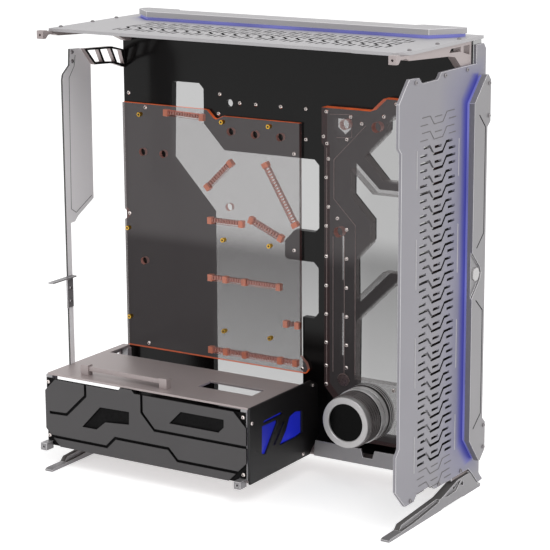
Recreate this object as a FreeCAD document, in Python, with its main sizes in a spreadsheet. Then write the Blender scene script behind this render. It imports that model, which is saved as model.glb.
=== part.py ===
import FreeCAD, Part
import math
import os
import re
import Sketcher

# Open-frame computer case: a black plate carries the board on one side, and aluminium skins,
# a power supply box and a distribution plate with its pump stand round it.
# Everything is drawn from the board datum, the tip of the rear bottom stand-off, in millimetres:
# +X from the rear to the front, +Y away from the open side, +Z up.

SIZES = {
    # fixing points of the main board
    "board_mid_x": 154.94, "board_front_x": 227.33, "board_top_x": 22.86,
    "board_mid_z": 124.46, "board_top_z": 281.94,
    "standoff_length": 6.5, "standoff_radius": 3.2, "standoff_thread": 1.25,
    # plates and the planes that they stand on
    "tray_thick": 6, "tray_rear": -8, "tray_bottom": -42, "tray_front": 271, "tray_top": 296,
    "tray_hole": 5.2, "comb_width": 7.5,
    "plate_thick": 5, "plate_rear": -9, "rim_depth": 5, "rim_wall": 2,
    "skin_gap": 14.5, "skin_thick": 3,
    "front_face": 515, "front_thick": 4, "front_near": -175, "front_crest": 380,
    "front_skirt": -134.5, "panel_far": 45, "ear_far": 55.6,
    "roof_face": 412, "roof_thick": 4, "roof_rear": 0, "roof_front": 513,
    "roof_near": -158, "roof_far": 42,
    "rear_face": -15, "rear_thick": 3, "rear_near": -117, "rear_post": 9.5, "rear_crest": 377,
    "strap_depth": 14, "catch_thick": 2, "catch_depth": 8,
    "base_top": -138, "base_thick": 3, "base_lip": -20, "floor_level": -168,
    "rail_thick": 3, "rail_height": 21,
    # vent slots
    "vent_pitch": 18, "vent_cells": 11, "vent_slot": 3.2, "vent_drop": 10.7, "vent_knee": 21,
    "vent_flat": 11, "vent_reach": 36.5, "vent_long": 44.5, "vent_bar": 17.5,
    "vent_front_mid": -78, "vent_front_top": 296, "vent_roof_mid": -86, "vent_roof_top": 467,
    # lit trims and the power button
    "guide_thick": 3.5, "guide_inset": 1.5, "trim_thick": 7.5, "trim_near": -5, "trim_far": 30,
    "trim_ear": 8, "roof_trim_near": -20, "roof_trim_far": 15, "recess_depth": 2.5,
    "button_radius": 8.5, "button_gap": 0.3, "button_y": 7.5, "button_z": 121.6,
    "button_sink": 0.6, "button_room": 1.8, "trim_groove": 1.2, "trim_groove_depth": 0.9,
    "trim_groove_inset": 5.5,
    # roof hangers and glass tabs
    "hanger_thick": 10, "hanger_rear": -5, "tab_near": -176, "tab_size": 10, "tab_thread": 1.6,
    "tab_depth": 8, "tab_rear_x": -15.3, "tab_front_x": 289.6, "tab_drop": 1.2,
    # power supply box
    "near_face": -165, "near_thick": 2.5, "liner_thick": 1.5, "near_top": -49, "near_groove": 3.6,
    "liner_rear": -17.5, "liner_front": 294.5, "liner_gap": 0.5, "cover_top": -41.7, "cover_thick": 3,
    "cover_far": -40, "psu_front": 302.7, "side_thick": 3, "lamp_thick": 3,
    "post_size": 10, "post_depth": 9, "post_gap": 0.5, "post_rear": -19.5, "bar_height": 6,
    "bar_block": 13.7,
    # distribution plate and pump
    "distro_thick": 14.5, "distro_rear": 313, "distro_front": 470, "window_step": 1.5, "window_back": 6,
    "port_radius": 6.58, "port_depth": 10, "port_upper_z": 294.3, "plug_radius": 8.5, "plug_height": 3,
    "pump_x": 381, "pump_z": -74, "pump_radius": 34.5, "pump_length": 54, "collar_wall": 2.5,
    "collar_height": 12, "ring_step": 1.5, "ring_wall": 8.5, "ring_height": 9, "pump_sill": -104,
    "cap_gap": 0.2, "cap_height": 6.5, "volute_radius": 24, "volute_depth": 9,
    "shaft_radius": 3, "shaft_length": 7, "shaft_gap": 0.05, "vane_reach": 13, "vane_thick": 2,
    "impeller_back": 7.5, "impeller_width": 6.9, "hub_radius": 6,
    # feet
    "foot_thick": 12, "foot_front": 514.7, "foot_rear": -3, "foot_tip": -190, "foot_heel": 50.8,
    "foot_ledge": 4.5, "foot_recess": 2.5, "foot_hole": 2.4,
    # screw heads
    "screw_radius": 2.6, "screw_height": 2,
}

doc = FreeCAD.newDocument("open_frame_case")
sheet = doc.addObject("Spreadsheet::Sheet", "dim")
for row, (name, size) in enumerate(SIZES.items(), 1):
    sheet.set(f"A{row}", name)
    sheet.set(f"B{row}", str(size))
    sheet.setAlias(f"B{row}", name)
doc.recompute()

# Planes that follow from the sizes
TRAY_BACK = "(standoff_length + tray_thick)"
PLATE_BACK = f"({TRAY_BACK} + plate_thick)"
SKIN_IN = f"({PLATE_BACK} + rim_depth + skin_gap)"
SKIN_OUT = f"({SKIN_IN} + skin_thick)"
FRONT_IN = "(front_face - front_thick)"
ROOF_IN = "(roof_face - roof_thick)"
REAR_IN = "(rear_face + rear_thick)"
BASE_BOTTOM = "(base_top - base_thick)"
NEAR_BACK = "(near_face + near_thick)"
NEAR_IN = f"({NEAR_BACK} + liner_thick)"
COVER_IN = "(cover_top - cover_thick)"
SIDE_IN = "(psu_front - side_thick)"
TRIM_BACK = "(front_face + guide_thick)"
TRIM_FACE = f"({TRIM_BACK} + trim_thick)"
DISTRO_FACE = f"({TRAY_BACK} - distro_thick)"
LAMP_IN = f"({SIDE_IN} - lamp_thick)"
RING_RADIUS = "(pump_radius - ring_step)"

# The part stands on the middle of its own footprint
DATUM = {
    "x": f"0 - (tab_rear_x - tab_size / 2 + {TRIM_FACE} + screw_height) / 2",
    "y": "0 - (foot_tip + ear_far) / 2",
    "z": "0 - floor_level",
}
PLANES = {"XZ": "y", "YZ": "x", "XY": "z"}
PIECES = []


def bind(text):
    """An expression in the sheet's cells."""
    return re.sub(r"[A-Za-z_]\w*", lambda word: "dim." + word.group(0), str(text))


def value(text):
    return float(sheet.evalExpression(bind(text)))


def place(thing, shift):
    """Bind a piece's place to the datum, with a shift along some of the axes."""
    for axis, start in DATUM.items():
        thing.setExpression(f"Placement.Base.{axis}", bind(f"{start} + {shift.get(axis, 0)}"))


def new_body(label, side, face, **shift):
    """A body whose sketches lie parallel to one side, at the plane called face."""
    body = doc.addObject("PartDesign::Body", label)
    body.Label = label
    body.AllowCompound = True
    place(body, {PLANES[side]: face, **shift})
    PIECES.append(body)
    return body


def new_sketch(body, side, lift="0"):
    plane = [item for item in body.Origin.OriginFeatures if item.Role == side + "_Plane"][0]
    sketch = body.newObject("Sketcher::SketchObject", body.Name + "_sketch")
    sketch.AttachmentSupport = (plane, [""])
    sketch.MapMode = "FlatFace"
    sketch.setExpression("AttachmentOffset.Base.z", bind(lift))
    return sketch


def draw_loop(sketch, points):
    """A closed outline, each corner held by two bound distances."""
    corners = [FreeCAD.Vector(value(u), value(v), 0) for u, v in points]
    first = sketch.GeometryCount
    count = len(corners)
    ends = corners[1:] + corners[:1]
    sketch.addGeometry([Part.LineSegment(start, end) for start, end in zip(corners, ends)])
    joints = []
    for i in range(count):
        joints.append(Sketcher.Constraint("Coincident", first + i, 2, first + (i + 1) % count, 1))
    held = sketch.ConstraintCount + count
    for i, corner in enumerate(corners):
        joints.append(Sketcher.Constraint("DistanceX", -1, 1, first + i, 1, corner.x))
        joints.append(Sketcher.Constraint("DistanceY", -1, 1, first + i, 1, corner.y))
    sketch.addConstraint(joints)
    for i, (u, v) in enumerate(points):
        sketch.setExpression(f"Constraints[{held + 2 * i}]", bind(u))
        sketch.setExpression(f"Constraints[{held + 2 * i + 1}]", bind(v))


def draw_circle(sketch, u, v, radius):
    centre = FreeCAD.Vector(value(u), value(v), 0)
    geometry = sketch.addGeometry(Part.Circle(centre, FreeCAD.Vector(0, 0, 1), value(radius)))
    held = sketch.ConstraintCount
    sketch.addConstraint([
        Sketcher.Constraint("DistanceX", -1, 1, geometry, 3, centre.x),
        Sketcher.Constraint("DistanceY", -1, 1, geometry, 3, centre.y),
        Sketcher.Constraint("Radius", geometry, value(radius)),
    ])
    for i, text in enumerate((u, v, radius)):
        sketch.setExpression(f"Constraints[{held + i}]", bind(text))


def draw(sketch, loops=(), circles=()):
    for points in loops:
        draw_loop(sketch, points)
    for circle in circles:
        draw_circle(sketch, *circle)


def add_pad(body, side, length, loops=(), circles=(), lift="0", backwards=False):
    """Raise outlines: on XZ towards the open side, on YZ to the front, on XY up."""
    sketch = new_sketch(body, side, lift)
    draw(sketch, loops, circles)
    pad = body.newObject("PartDesign::Pad", body.Name + "_pad")
    pad.Profile = sketch
    pad.Reversed = backwards
    pad.setExpression("Length", bind(length))
    return pad


def add_pocket(body, side, lift, loops=(), circles=(), depth=None):
    """Cut outlines from the plane at lift into the body, right through if no depth is given."""
    sketch = new_sketch(body, side, lift)
    draw(sketch, loops, circles)
    pocket = body.newObject("PartDesign::Pocket", body.Name + "_pocket")
    pocket.Profile = sketch
    if depth is None:
        pocket.Type = "ThroughAll"
    else:
        pocket.Type = "Length"
        pocket.setExpression("Length", bind(depth))
    return pocket


def plate(label, side, face, thick, outline, windows=(), holes=()):
    body = new_body(label, side, face)
    add_pad(body, side, thick, [outline, *windows], holes)
    return body


def box(u0, v0, u1, v1):
    return [(u0, v0), (u1, v0), (u1, v1), (u0, v1)]


def round_loop(u, v, radius, corners=12):
    """A repeated round hole with few faces."""
    turns = [2 * math.pi * i / corners for i in range(corners)]
    return [(f"{u} + {math.cos(turn):.4f} * {radius}", f"{v} + {math.sin(turn):.4f} * {radius}")
            for turn in turns]


def offset(points, size, sign=1):
    """An outline moved outwards by a named size, with mitred corners."""
    corners = [(value(u), value(v)) for u, v in points]
    area = sum(a[0] * b[1] - b[0] * a[1] for a, b in zip(corners, corners[1:] + corners[:1]))
    out = math.copysign(1, area) * sign
    moved = []
    for i, (u, v) in enumerate(points):
        before, here, after = corners[i - 1], corners[i], corners[(i + 1) % len(corners)]
        first = math.atan2(here[1] - before[1], here[0] - before[0])
        second = math.atan2(after[1] - here[1], after[0] - here[0])
        half = (second - first + math.pi) % (2 * math.pi) - math.pi
        along = first + half / 2
        reach = out / math.cos(half / 2)
        moved.append((f"{u} + {reach * math.sin(along):.4f} * {size}",
                      f"{v} + {-reach * math.cos(along):.4f} * {size}"))
    return moved


def band(path, width):
    """A line of a named width along an open path, with mitred bends and square ends."""
    corners = [(value(u), value(v)) for u, v in path]
    turns = [math.atan2(b[1] - a[1], b[0] - a[0]) for a, b in zip(corners, corners[1:])]
    sides = ([], [])
    for (u, v), first, second in zip(path, turns[:1] + turns, turns + turns[-1:]):
        half = (second - first + math.pi) % (2 * math.pi) - math.pi
        along = first + half / 2
        for side, reach in zip(sides, (0.5 / math.cos(half / 2), -0.5 / math.cos(half / 2))):
            side.append((f"{u} + {reach * math.sin(along):.4f} * {width}",
                         f"{v} + {-reach * math.cos(along):.4f} * {width}"))
    return sides[0] + sides[1][::-1]


def screw_group(label, towards, face, points):
    """Plain six-sided heads in one group; towards is the way that they stand out of face."""
    turns = {"-y": FreeCAD.Rotation(FreeCAD.Vector(1, 0, 0), 90),
             "+x": FreeCAD.Rotation(FreeCAD.Vector(0, 1, 0), 90),
             "+z": FreeCAD.Rotation()}
    axes = {"-y": "xz", "+x": "yz", "+z": "xy"}[towards]
    heads = []
    for u, v in points:
        head = doc.addObject("Part::Prism", label + "_head")
        head.Polygon = 6
        head.setExpression("Circumradius", bind("screw_radius"))
        head.setExpression("Height", bind("screw_height"))
        head.Placement = FreeCAD.Placement(FreeCAD.Vector(), turns[towards])
        place(head, {towards[1]: face, axes[0]: u, axes[1]: v})
        heads.append(head)
    group = doc.addObject("Part::Compound", label)
    group.Label = label
    group.Links = heads
    PIECES.append(group)


# Windows of the black plate; those of the distribution plate in front of it are smaller
MAIN_WINDOW = [
    (70, 326), (74, 329), (113, 329), (120, 322), (120, 276), (152, 243), (290, 243), (297, 236),
    (297, 154), (291, 148), (260, 148), (245, 132), (245, 111), (249, 108), (289, 108), (296, 101),
    (296, 41), (289, 33), (272, 33), (272, -110), (131, -110), (131, 158), (67, 226),
]
PORT_WINDOW = [(319.5, 299), (342, 299), (344, 287), (332, 276), (319.5, 286)]
UPPER_WINDOW = [(412.5, 305.5), (404.5, 300), (404, 286.5), (374, 256.5), (400.5, 229),
                (456, 229), (456, 305.5)]
MIDDLE_WINDOW = [(352.5, 235.5), (383, 207.5), (456, 207.5), (456, 112.5), (398.5, 112.5),
                 (359, 73), (358.5, 120), (382, 144.5), (382, 175.5), (352.5, 205.5)]
LOWER_WINDOW = [(456, 94), (416, 94), (361, 40), (360, -34), (456, -34)]
# behind the pump the black plate is open further down than the acrylic in front of it
PUMP_WINDOW = [*LOWER_WINDOW[:3], (360, "pump_sill"), (456, "pump_sill")]
SLOTS = [box(329, 89, 334, 151), box(329, -12, 334, 46)]
FLOW_WINDOWS = [UPPER_WINDOW, MIDDLE_WINDOW, LOWER_WINDOW]


def make_mid_plate():
    """Folded black plate: every window has a rim towards the far skin."""
    body = new_body("mid_plate", "XZ", PLATE_BACK)
    add_pad(body, "XZ", "plate_thick", [box("plate_rear", "base_top", FRONT_IN, ROOF_IN)])
    flow = [offset(window, "window_back") for window in (UPPER_WINDOW, MIDDLE_WINDOW, PUMP_WINDOW)]
    framed = [MAIN_WINDOW, PORT_WINDOW, *flow]
    rims = [offset(window, "rim_wall") for window in framed]
    add_pad(body, "XZ", "rim_depth", rims, backwards=True)
    add_pocket(body, "XZ", "plate_thick", [*framed, *SLOTS, round_loop(160.8, 306.2, "tray_hole")])


def make_board_tray():
    outline = [
        ("tray_rear", "tray_bottom"), ("tray_front + 8", "tray_bottom"), ("tray_front + 12", -36),
        ("tray_front + 9", -28), ("tray_front", -19), ("tray_front", "tray_top - 7"),
        (153, "tray_top - 7"), (143.3, "tray_top - 12"), (139, "tray_top - 10.4"),
        (129, "tray_top - 0.6"), (122.5, "tray_top"), ("tray_rear", "tray_top"), ("tray_rear", 150),
        ("tray_rear + 4", 147), ("tray_rear + 4", 138), ("tray_rear", 135),
    ]
    lines = [
        [(61.4, 286.5), (121.5, 284.5)], [(126.5, 191.4), (165.1, 228.5)],
        [(217.7, 230.9), (264, 153.3)], [(129.8, 147.4), (182, 147.4)],
        [(194.6, 154.7), (242.6, 134.3)], [(129.2, 69.3), (239.6, 69.3)],
        [(128.7, -30.5), (264.9, -30.5)],
    ]
    combs = [band(line, "comb_width") for line in lines]
    spots = [(22.9, 230.2), (56.6, 230.2), (164.8, 269.3), (202.2, 268.3), (241.1, 268.3),
             (22.4, 80), (161.8, 168.7)]
    holes = [round_loop(u, v, "tray_hole") for u, v in spots]
    plate("board_tray", "XZ", TRAY_BACK, "tray_thick", outline, combs + holes)


def make_standoffs():
    """Hexagon stand-offs of the board, each with its thread's bore."""
    rows = [("0", ("0", "board_mid_x", "board_front_x")),
            ("board_mid_z", ("0", "board_mid_x", "board_front_x")),
            ("board_top_z", ("board_top_x", "board_mid_x", "board_front_x"))]
    turn = FreeCAD.Placement(FreeCAD.Vector(), FreeCAD.Rotation(FreeCAD.Vector(1, 0, 0), 90))
    posts = []
    for v, columns in rows:
        for u in columns:
            hexagon = doc.addObject("Part::Prism", "standoff_hexagon")
            hexagon.Polygon = 6
            hexagon.setExpression("Circumradius", bind("standoff_radius"))
            hexagon.setExpression("Height", bind("standoff_length"))
            thread = doc.addObject("Part::Cylinder", "standoff_bore")
            thread.setExpression("Radius", bind("standoff_thread"))
            thread.setExpression("Height", bind("standoff_length"))
            for solid in (hexagon, thread):
                solid.Placement = turn
                place(solid, {"x": u, "y": "standoff_length", "z": v})
            post = doc.addObject("Part::Cut", "standoff")
            post.Base = hexagon
            post.Tool = thread
            posts.append(post)
    group = doc.addObject("Part::Compound", "board_standoffs")
    group.Label = "board_standoffs"
    group.Links = posts
    PIECES.append(group)


def make_distro_plate():
    """Thick acrylic plate: flow windows, threaded ports and the round seat of the pump's wheel."""
    outline = [
        ("distro_rear - 4", 314), (380, 314), (398, 331), ("distro_front", 331),
        ("distro_front", -118), (345, -118), (327, -100), (327, -66), ("distro_rear", -51),
        ("distro_rear", 264), ("distro_rear - 4", 268),
    ]
    body = plate("distro_plate", "XZ", TRAY_BACK, "distro_thick", outline,
                 [offset(window, "window_step") for window in FLOW_WINDOWS])
    spots = [(342.3, "port_upper_z"), (388, "port_upper_z"), (333.5, 155.2)]
    ports = [(u, v, "port_radius") for u, v in spots]
    add_pocket(body, "XZ", "distro_thick", circles=ports, depth="port_depth")
    volute = ("pump_x", "pump_z", "volute_radius")
    add_pocket(body, "XZ", "distro_thick", circles=[volute], depth="volute_depth")
    plug = new_body("port_plug", "XZ", DISTRO_FACE)
    add_pad(plug, "XZ", "plug_height", circles=[(343, -38, "plug_radius")])


def make_pump():
    """Pump turned about an axis along Y, from the distribution plate towards the open side."""
    axis = {"x": "pump_x", "z": "pump_z"}
    body = new_body("pump_body", "XZ", DISTRO_FACE, **axis)
    add_pad(body, "XZ", "pump_length", circles=[("0", "0", "pump_radius")])
    add_pad(body, "XZ", "collar_height", circles=[("0", "0", "pump_radius + collar_wall")])
    add_pad(body, "XZ", "shaft_length", circles=[("0", "0", "shaft_radius")], backwards=True)
    nose = f"({DISTRO_FACE} - pump_length)"
    ring = new_body("pump_ring", "XZ", nose, **axis)
    add_pad(ring, "XZ", "ring_height",
            circles=[("0", "0", RING_RADIUS), ("0", "0", f"{RING_RADIUS} - ring_wall")])
    cap = new_body("pump_cap", "XZ", nose, **axis)
    add_pad(cap, "XZ", "cap_height", circles=[("0", "0", f"{RING_RADIUS} - ring_wall - cap_gap")])

    wheel = new_body("pump_impeller", "XZ", f"({DISTRO_FACE} + impeller_back)", **axis)
    add_pad(wheel, "XZ", "impeller_width", circles=[("0", "0", "hub_radius")])
    half = "vane_thick / 2"
    blade = box("hub_radius - 1", f"0 - {half}", "hub_radius + vane_reach", half)
    vane = add_pad(wheel, "XZ", "impeller_width", [blade])
    vanes = wheel.newObject("PartDesign::PolarPattern", "impeller_vanes")
    vanes.Originals = [vane]
    vanes.Axis = (vane.Profile[0], ["N_Axis"])
    vanes.Angle = 360
    vanes.Occurrences = 6
    wheel.Tip = vanes
    add_pocket(wheel, "XZ", "impeller_width", circles=[("0", "0", "shaft_radius + shaft_gap")])


def vent_cell(along, middle):
    """Two bent slots and their short bars, as (across, along) corners from the top slot downwards."""
    half = "vent_slot / 2"
    mitre = "0.414 * vent_slot / 2"
    loops = []
    for row, reach in enumerate(("vent_reach", "vent_long")):
        level = f"{along} - {row} * vent_pitch"
        upper = [(f"0 - {reach}", 0, 1), (f"0 - vent_knee + {mitre}", 0, 1),
                 (f"0 - vent_flat + {mitre}", 1, 1), (f"vent_flat - {mitre}", 1, 1),
                 (f"vent_knee - {mitre}", 0, 1), (reach, 0, 1)]
        lower = [(reach, 0, -1), (f"vent_knee + {mitre}", 0, -1), (f"vent_flat + {mitre}", 1, -1),
                 (f"0 - vent_flat - {mitre}", 1, -1), (f"0 - vent_knee - {mitre}", 0, -1),
                 (f"0 - {reach}", 0, -1)]
        loops.append([(f"{middle} + {across}", f"{level} - {low} * vent_drop + {side} * {half}")
                      for across, low, side in upper + lower])
        bars = [("0 - vent_long", "0.5"), ("0 - vent_bar / 2", "0.14"), ("vent_long - vent_bar", "0.5")]
        for start, drop in bars:
            line = f"{level} - {drop} * vent_pitch"
            loops.append(box(f"{middle} + {start}", f"{line} - {half}",
                             f"{middle} + {start} + vent_bar", f"{line} + {half}"))
    return loops


def add_vents(body, side, thick, loops, axis):
    """Repeat one cell of vent slots down the panel."""
    cell = add_pocket(body, side, thick, loops)
    rows = body.newObject("PartDesign::LinearPattern", body.Name + "_vents")
    rows.Originals = [cell]
    rows.Direction = (cell.Profile[0], [axis])
    rows.Reversed = True
    rows.setExpression("Length", "dim.vent_pitch * 2 * (dim.vent_cells - 1)")
    rows.setExpression("Occurrences", "dim.vent_cells")
    body.Tip = rows


def make_front_panel():
    outline = [
        ("front_near", 355), (-151, "front_crest + 1"), (-127, "front_crest"), (-119, "front_crest - 7.5"),
        (-80, "front_crest - 7.5"), (-72.5, "front_crest"), (19, "front_crest"), (19, "front_crest + 23"),
        ("panel_far - 6", "front_crest + 23"), ("panel_far", "front_crest + 16"), ("panel_far", -148),
        ("ear_far", -159), (43, -160.6), (24, -142), (15, "front_skirt"), (-74.6, "front_skirt"),
        (-85, "front_skirt + 7.5"), (-122.5, "front_skirt + 7.5"), (-130, "front_skirt"),
        (-151.5, "front_skirt"), ("front_near - 1", -110), ("front_near - 1", -66), ("front_near + 7", -58),
        ("front_near + 7", 297), ("front_near", 304),
    ]
    body = plate("front_panel", "YZ", FRONT_IN, "front_thick", outline)
    add_vents(body, "YZ", "front_thick", vent_cell("vent_front_top", "vent_front_mid"), "V_Axis")
    low = [(v, "front_skirt + 4") for v in (-139.5, -66, -7)]
    high = [(v, "front_crest - 4.5") for v in (-136.2, -62.7, -5.5)]
    screw_group("front_screws", "+x", "front_face", low + high)


def make_roof_panel():
    outline = [
        ("roof_rear", "roof_near"), (440, "roof_near"), (446, "roof_near - 3"),
        ("roof_front - 14", "roof_near - 3"), ("roof_front", "roof_near + 15"),
        ("roof_front", "roof_far"), ("roof_rear", "roof_far"),
    ]
    body = plate("roof_panel", "XY", ROOF_IN, "roof_thick", outline)
    cell = [[(v, u) for u, v in loop] for loop in vent_cell("vent_roof_top", "vent_roof_mid")]
    add_vents(body, "XY", "roof_thick", cell, "H_Axis")
    rear = [("roof_rear + 5", v) for v in (-139, -72, -20)]
    front = [("roof_front - 7", v) for v in (-135, -66, -10)]
    screw_group("roof_screws", "+z", "roof_face", rear + front)


FRONT_TRIM = [
    ("trim_near", 335), ("trim_far - 3", 366.5), ("trim_far + 1", 366.5), ("trim_far + trim_ear", 359),
    ("trim_far + trim_ear", 308), ("trim_far", 302), ("trim_far", -69), ("trim_far + trim_ear", -76),
    ("trim_far + trim_ear", -112), ("trim_far - 5", -124), ("trim_far - 8", -124), ("trim_near", -91),
]
ROOF_TRIM = [
    (54, "roof_trim_near"), (470, "roof_trim_near"), (500, "roof_trim_far + 2"),
    (500, "roof_trim_far + trim_ear"), (440, "roof_trim_far + trim_ear"),
    (433, "roof_trim_far"), (84, "roof_trim_far"),
    (77, "roof_trim_far + trim_ear"), (28, "roof_trim_far + trim_ear"), (22, "roof_trim_far + 2"),
    (22, "roof_trim_far - 7"),
]


def make_trims():
    """Raised trims on light guides; the front one holds the power button."""
    plate("front_light_guide", "YZ", "front_face", "guide_thick", offset(FRONT_TRIM, "guide_inset", -1))
    trim = plate("front_trim", "YZ", TRIM_BACK, "trim_thick", FRONT_TRIM)
    recess = [("trim_near - 1", "button_z + 30"), ("button_y + 7.5", "button_z + 9"),
              ("button_y + 12", "button_z"), ("button_y + 7.5", "button_z - 9"),
              ("trim_near - 1", "button_z - 30")]
    add_pocket(trim, "YZ", "trim_thick", [recess], depth="recess_depth")
    groove = "trim_far - trim_groove_inset"
    upper = [(8, 319.5), (groove, 303), (groove, "button_z + 49"), (6, "button_z + 33")]
    lower = [(6, "button_z - 33"), (groove, "button_z - 49"), (groove, -61), (4, -77)]
    add_pocket(trim, "YZ", "trim_thick", [band(path, "trim_groove") for path in (upper, lower)],
               depth="trim_groove_depth")
    bore = ("button_y", "button_z", "button_radius + button_gap")
    add_pocket(trim, "YZ", "trim_thick", circles=[bore])
    button = new_body("power_button", "YZ", f"({TRIM_BACK} + button_room)")
    add_pad(button, "YZ", "trim_thick - button_room - button_sink",
            circles=[("button_y", "button_z", "button_radius")])
    ears = [("trim_far + 3", v) for v in (355.5, 315.6, -79.5, -108)]
    screw_group("trim_screws", "+x", TRIM_FACE, ears)
    plate("top_light_guide", "XY", "roof_face", "guide_thick", offset(ROOF_TRIM, "guide_inset", -1))
    plate("top_trim", "XY", "(roof_face + guide_thick)", "trim_thick", ROOF_TRIM)


def make_hanger(label, start, foot):
    """Bar under one end of the roof, with a glass tab at its near end and a gusset at its far end."""
    outline = [
        ("tab_near", f"{ROOF_IN} - 8"), ("tab_near", f"{ROOF_IN} + 2.5"),
        ("roof_near - 10", f"{ROOF_IN} + 2.5"), ("roof_near - 6", ROOF_IN), (TRAY_BACK, ROOF_IN),
        (TRAY_BACK, foot), (2, foot), (-30, f"{ROOF_IN} - 15"), (-46, f"{ROOF_IN} - 12.5"),
        (-145, f"{ROOF_IN} - 6.5"), (-152, f"{ROOF_IN} - 3.5"),
        ("tab_near + 11", f"{ROOF_IN} - 3.5"), ("tab_near + 6", f"{ROOF_IN} - 8"),
    ]
    windows = [
        [(-45, f"{ROOF_IN} - 8.5"), (-40, f"{ROOF_IN} - 4"), (-15, f"{ROOF_IN} - 4"),
         (-15, f"{ROOF_IN} - 10")],
        [(-8, f"{ROOF_IN} - 4"), (8, f"{ROOF_IN} - 4"), (8, f"{ROOF_IN} - 16"), (-8, f"{ROOF_IN} - 12")],
    ]
    body = plate(label, "YZ", start, "hanger_thick", outline, windows)
    thread = ("hanger_thick / 2", f"{ROOF_IN} - 3", "tab_thread")
    add_pocket(body, "XZ", "0 - tab_near", circles=[thread], depth="tab_depth")


def make_rear_side():
    outline = [
        ("rear_near", "cover_top"), ("rear_near + rear_post", "cover_top"),
        ("rear_near + rear_post", 149.5), (-98.5, 150), (-91.5, 156.5), (-57, 174.5),
        (-56, "rear_crest - 21.5"), (-77.5, "rear_crest"),
        (-100, "rear_crest + 1.5"), (-101.5, "rear_crest - 19.5"), ("rear_near + 2", "rear_crest - 30"),
        ("rear_near", "rear_crest - 37"),
    ]
    plate("rear_panel", "YZ", "rear_face", "rear_thick", outline)
    strap = [(-77.5, "rear_crest"), (-17, "rear_crest - 3.5"), (TRAY_BACK, "rear_crest - 11"),
             (TRAY_BACK, "rear_crest - 35"), (-17, "rear_crest - 26"), (-55.5, "rear_crest - 23.5")]
    windows = [[(start, f"rear_crest - {4 + drop}"), (start + 11, f"rear_crest - {4.5 + drop}"),
                (start + 29, f"rear_crest - {18 + drop}"), (start + 18, f"rear_crest - {18 + drop}")]
               for start, drop in ((-70, 0), (-48, 1), (-26, 3))]
    plate("rear_strap", "YZ", REAR_IN, "strap_depth", strap, windows)
    catch = new_body("catch_bracket", "YZ", REAR_IN)
    add_pad(catch, "YZ", "catch_thick", [box(-122, 37, -109, 80)])
    add_pad(catch, "YZ", "catch_depth", [box(-160, "80 - catch_thick", -109, 80)])
    screw_group("rear_screws", "+x", REAR_IN, [(-96, "rear_crest - 3"), (-96, "rear_crest - 15")])
    screw_group("catch_screws", "+x", f"{REAR_IN} + catch_thick", [(-116, 64), (-116, 46)])


def make_base():
    outline = [
        ("rear_face", NEAR_IN), (SIDE_IN, NEAR_IN), (SIDE_IN, "base_lip"), (FRONT_IN, "base_lip"),
        (FRONT_IN, SKIN_OUT), ("rear_face", SKIN_OUT),
    ]
    plate("base_plate", "XY", BASE_BOTTOM, "base_thick", outline)
    rail_top = f"{BASE_BOTTOM} + rail_height"
    rail = [("psu_front + 7", BASE_BOTTOM), (FRONT_IN, BASE_BOTTOM), (FRONT_IN, rail_top),
            (400, rail_top), (397, f"{rail_top} - 11"), (383, f"{rail_top} - 11"), (380, rail_top),
            ("psu_front + 9", rail_top)]
    plate("bottom_rail", "XZ", "base_lip", "rail_thick", rail)
    skin = box("plate_rear", "base_top", FRONT_IN, ROOF_IN)
    plate("right_side_panel", "XZ", SKIN_OUT, "skin_thick", skin)
    tabs = new_body("glass_tabs", "XZ", NEAR_IN)
    low = f"{BASE_BOTTOM} + base_thick / 2 - tab_size / 2 - tab_drop"
    corners = [box(f"{u} - tab_size / 2", low, f"{u} + tab_size / 2", f"{low} + tab_size")
               for u in ("tab_rear_x", "tab_front_x")]
    add_pad(tabs, "XZ", f"{NEAR_IN} - tab_near", corners)
    threads = [(u, f"{low} + tab_size / 2", "tab_thread") for u in ("tab_rear_x", "tab_front_x")]
    add_pocket(tabs, "XZ", f"{NEAR_IN} - tab_near", circles=threads, depth="tab_depth")


def make_foot(label, start):
    """Cantilever foot: flat tip, a rib that rises behind a ledge, and a pierced root under the base."""
    outline = [
        ("foot_tip", "floor_level"), (-57, "floor_level"), (-53, "floor_level + 1"), (-1, "floor_level + 1"),
        (3, "floor_level"), ("foot_heel", "floor_level"), ("foot_heel", "floor_level + 4.5"),
        (41.5, "floor_level + 6.5"), (21, BASE_BOTTOM), (-12, BASE_BOTTOM), (-57, "floor_level + 15.6"),
        (-151.5, "floor_level + 9.8"), (-158, "floor_level + 4"), ("foot_tip + 4", "floor_level + 4"),
        ("foot_tip", "floor_level + 2.5"),
    ]
    root = [(-6, "floor_level + 18.5"), (1.5, "floor_level + 22.5"), (3, "floor_level + 15.5")]
    body = plate(label, "YZ", start, "foot_thick", outline, [root])
    ledge = [(-170, "floor_level + 4"), (-126, "floor_level + 5.8"), (-63, "floor_level + 12.4"),
             (-60, "floor_level + 20"), (-170, "floor_level + 20")]
    add_pocket(body, "YZ", "foot_thick", [ledge], depth="foot_ledge")
    recess = [(-48, "floor_level + 15.2"), (-12, f"{BASE_BOTTOM} - 2.5"), (-3, f"{BASE_BOTTOM} - 2.5"),
              (-17, "floor_level + 14"), (-40, "floor_level + 13")]
    add_pocket(body, "YZ", "foot_thick", [recess], depth="foot_recess")
    add_pocket(body, "YZ", "foot_thick", [round_loop(-18, "floor_level + 17.8", "foot_hole", 6)])


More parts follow.
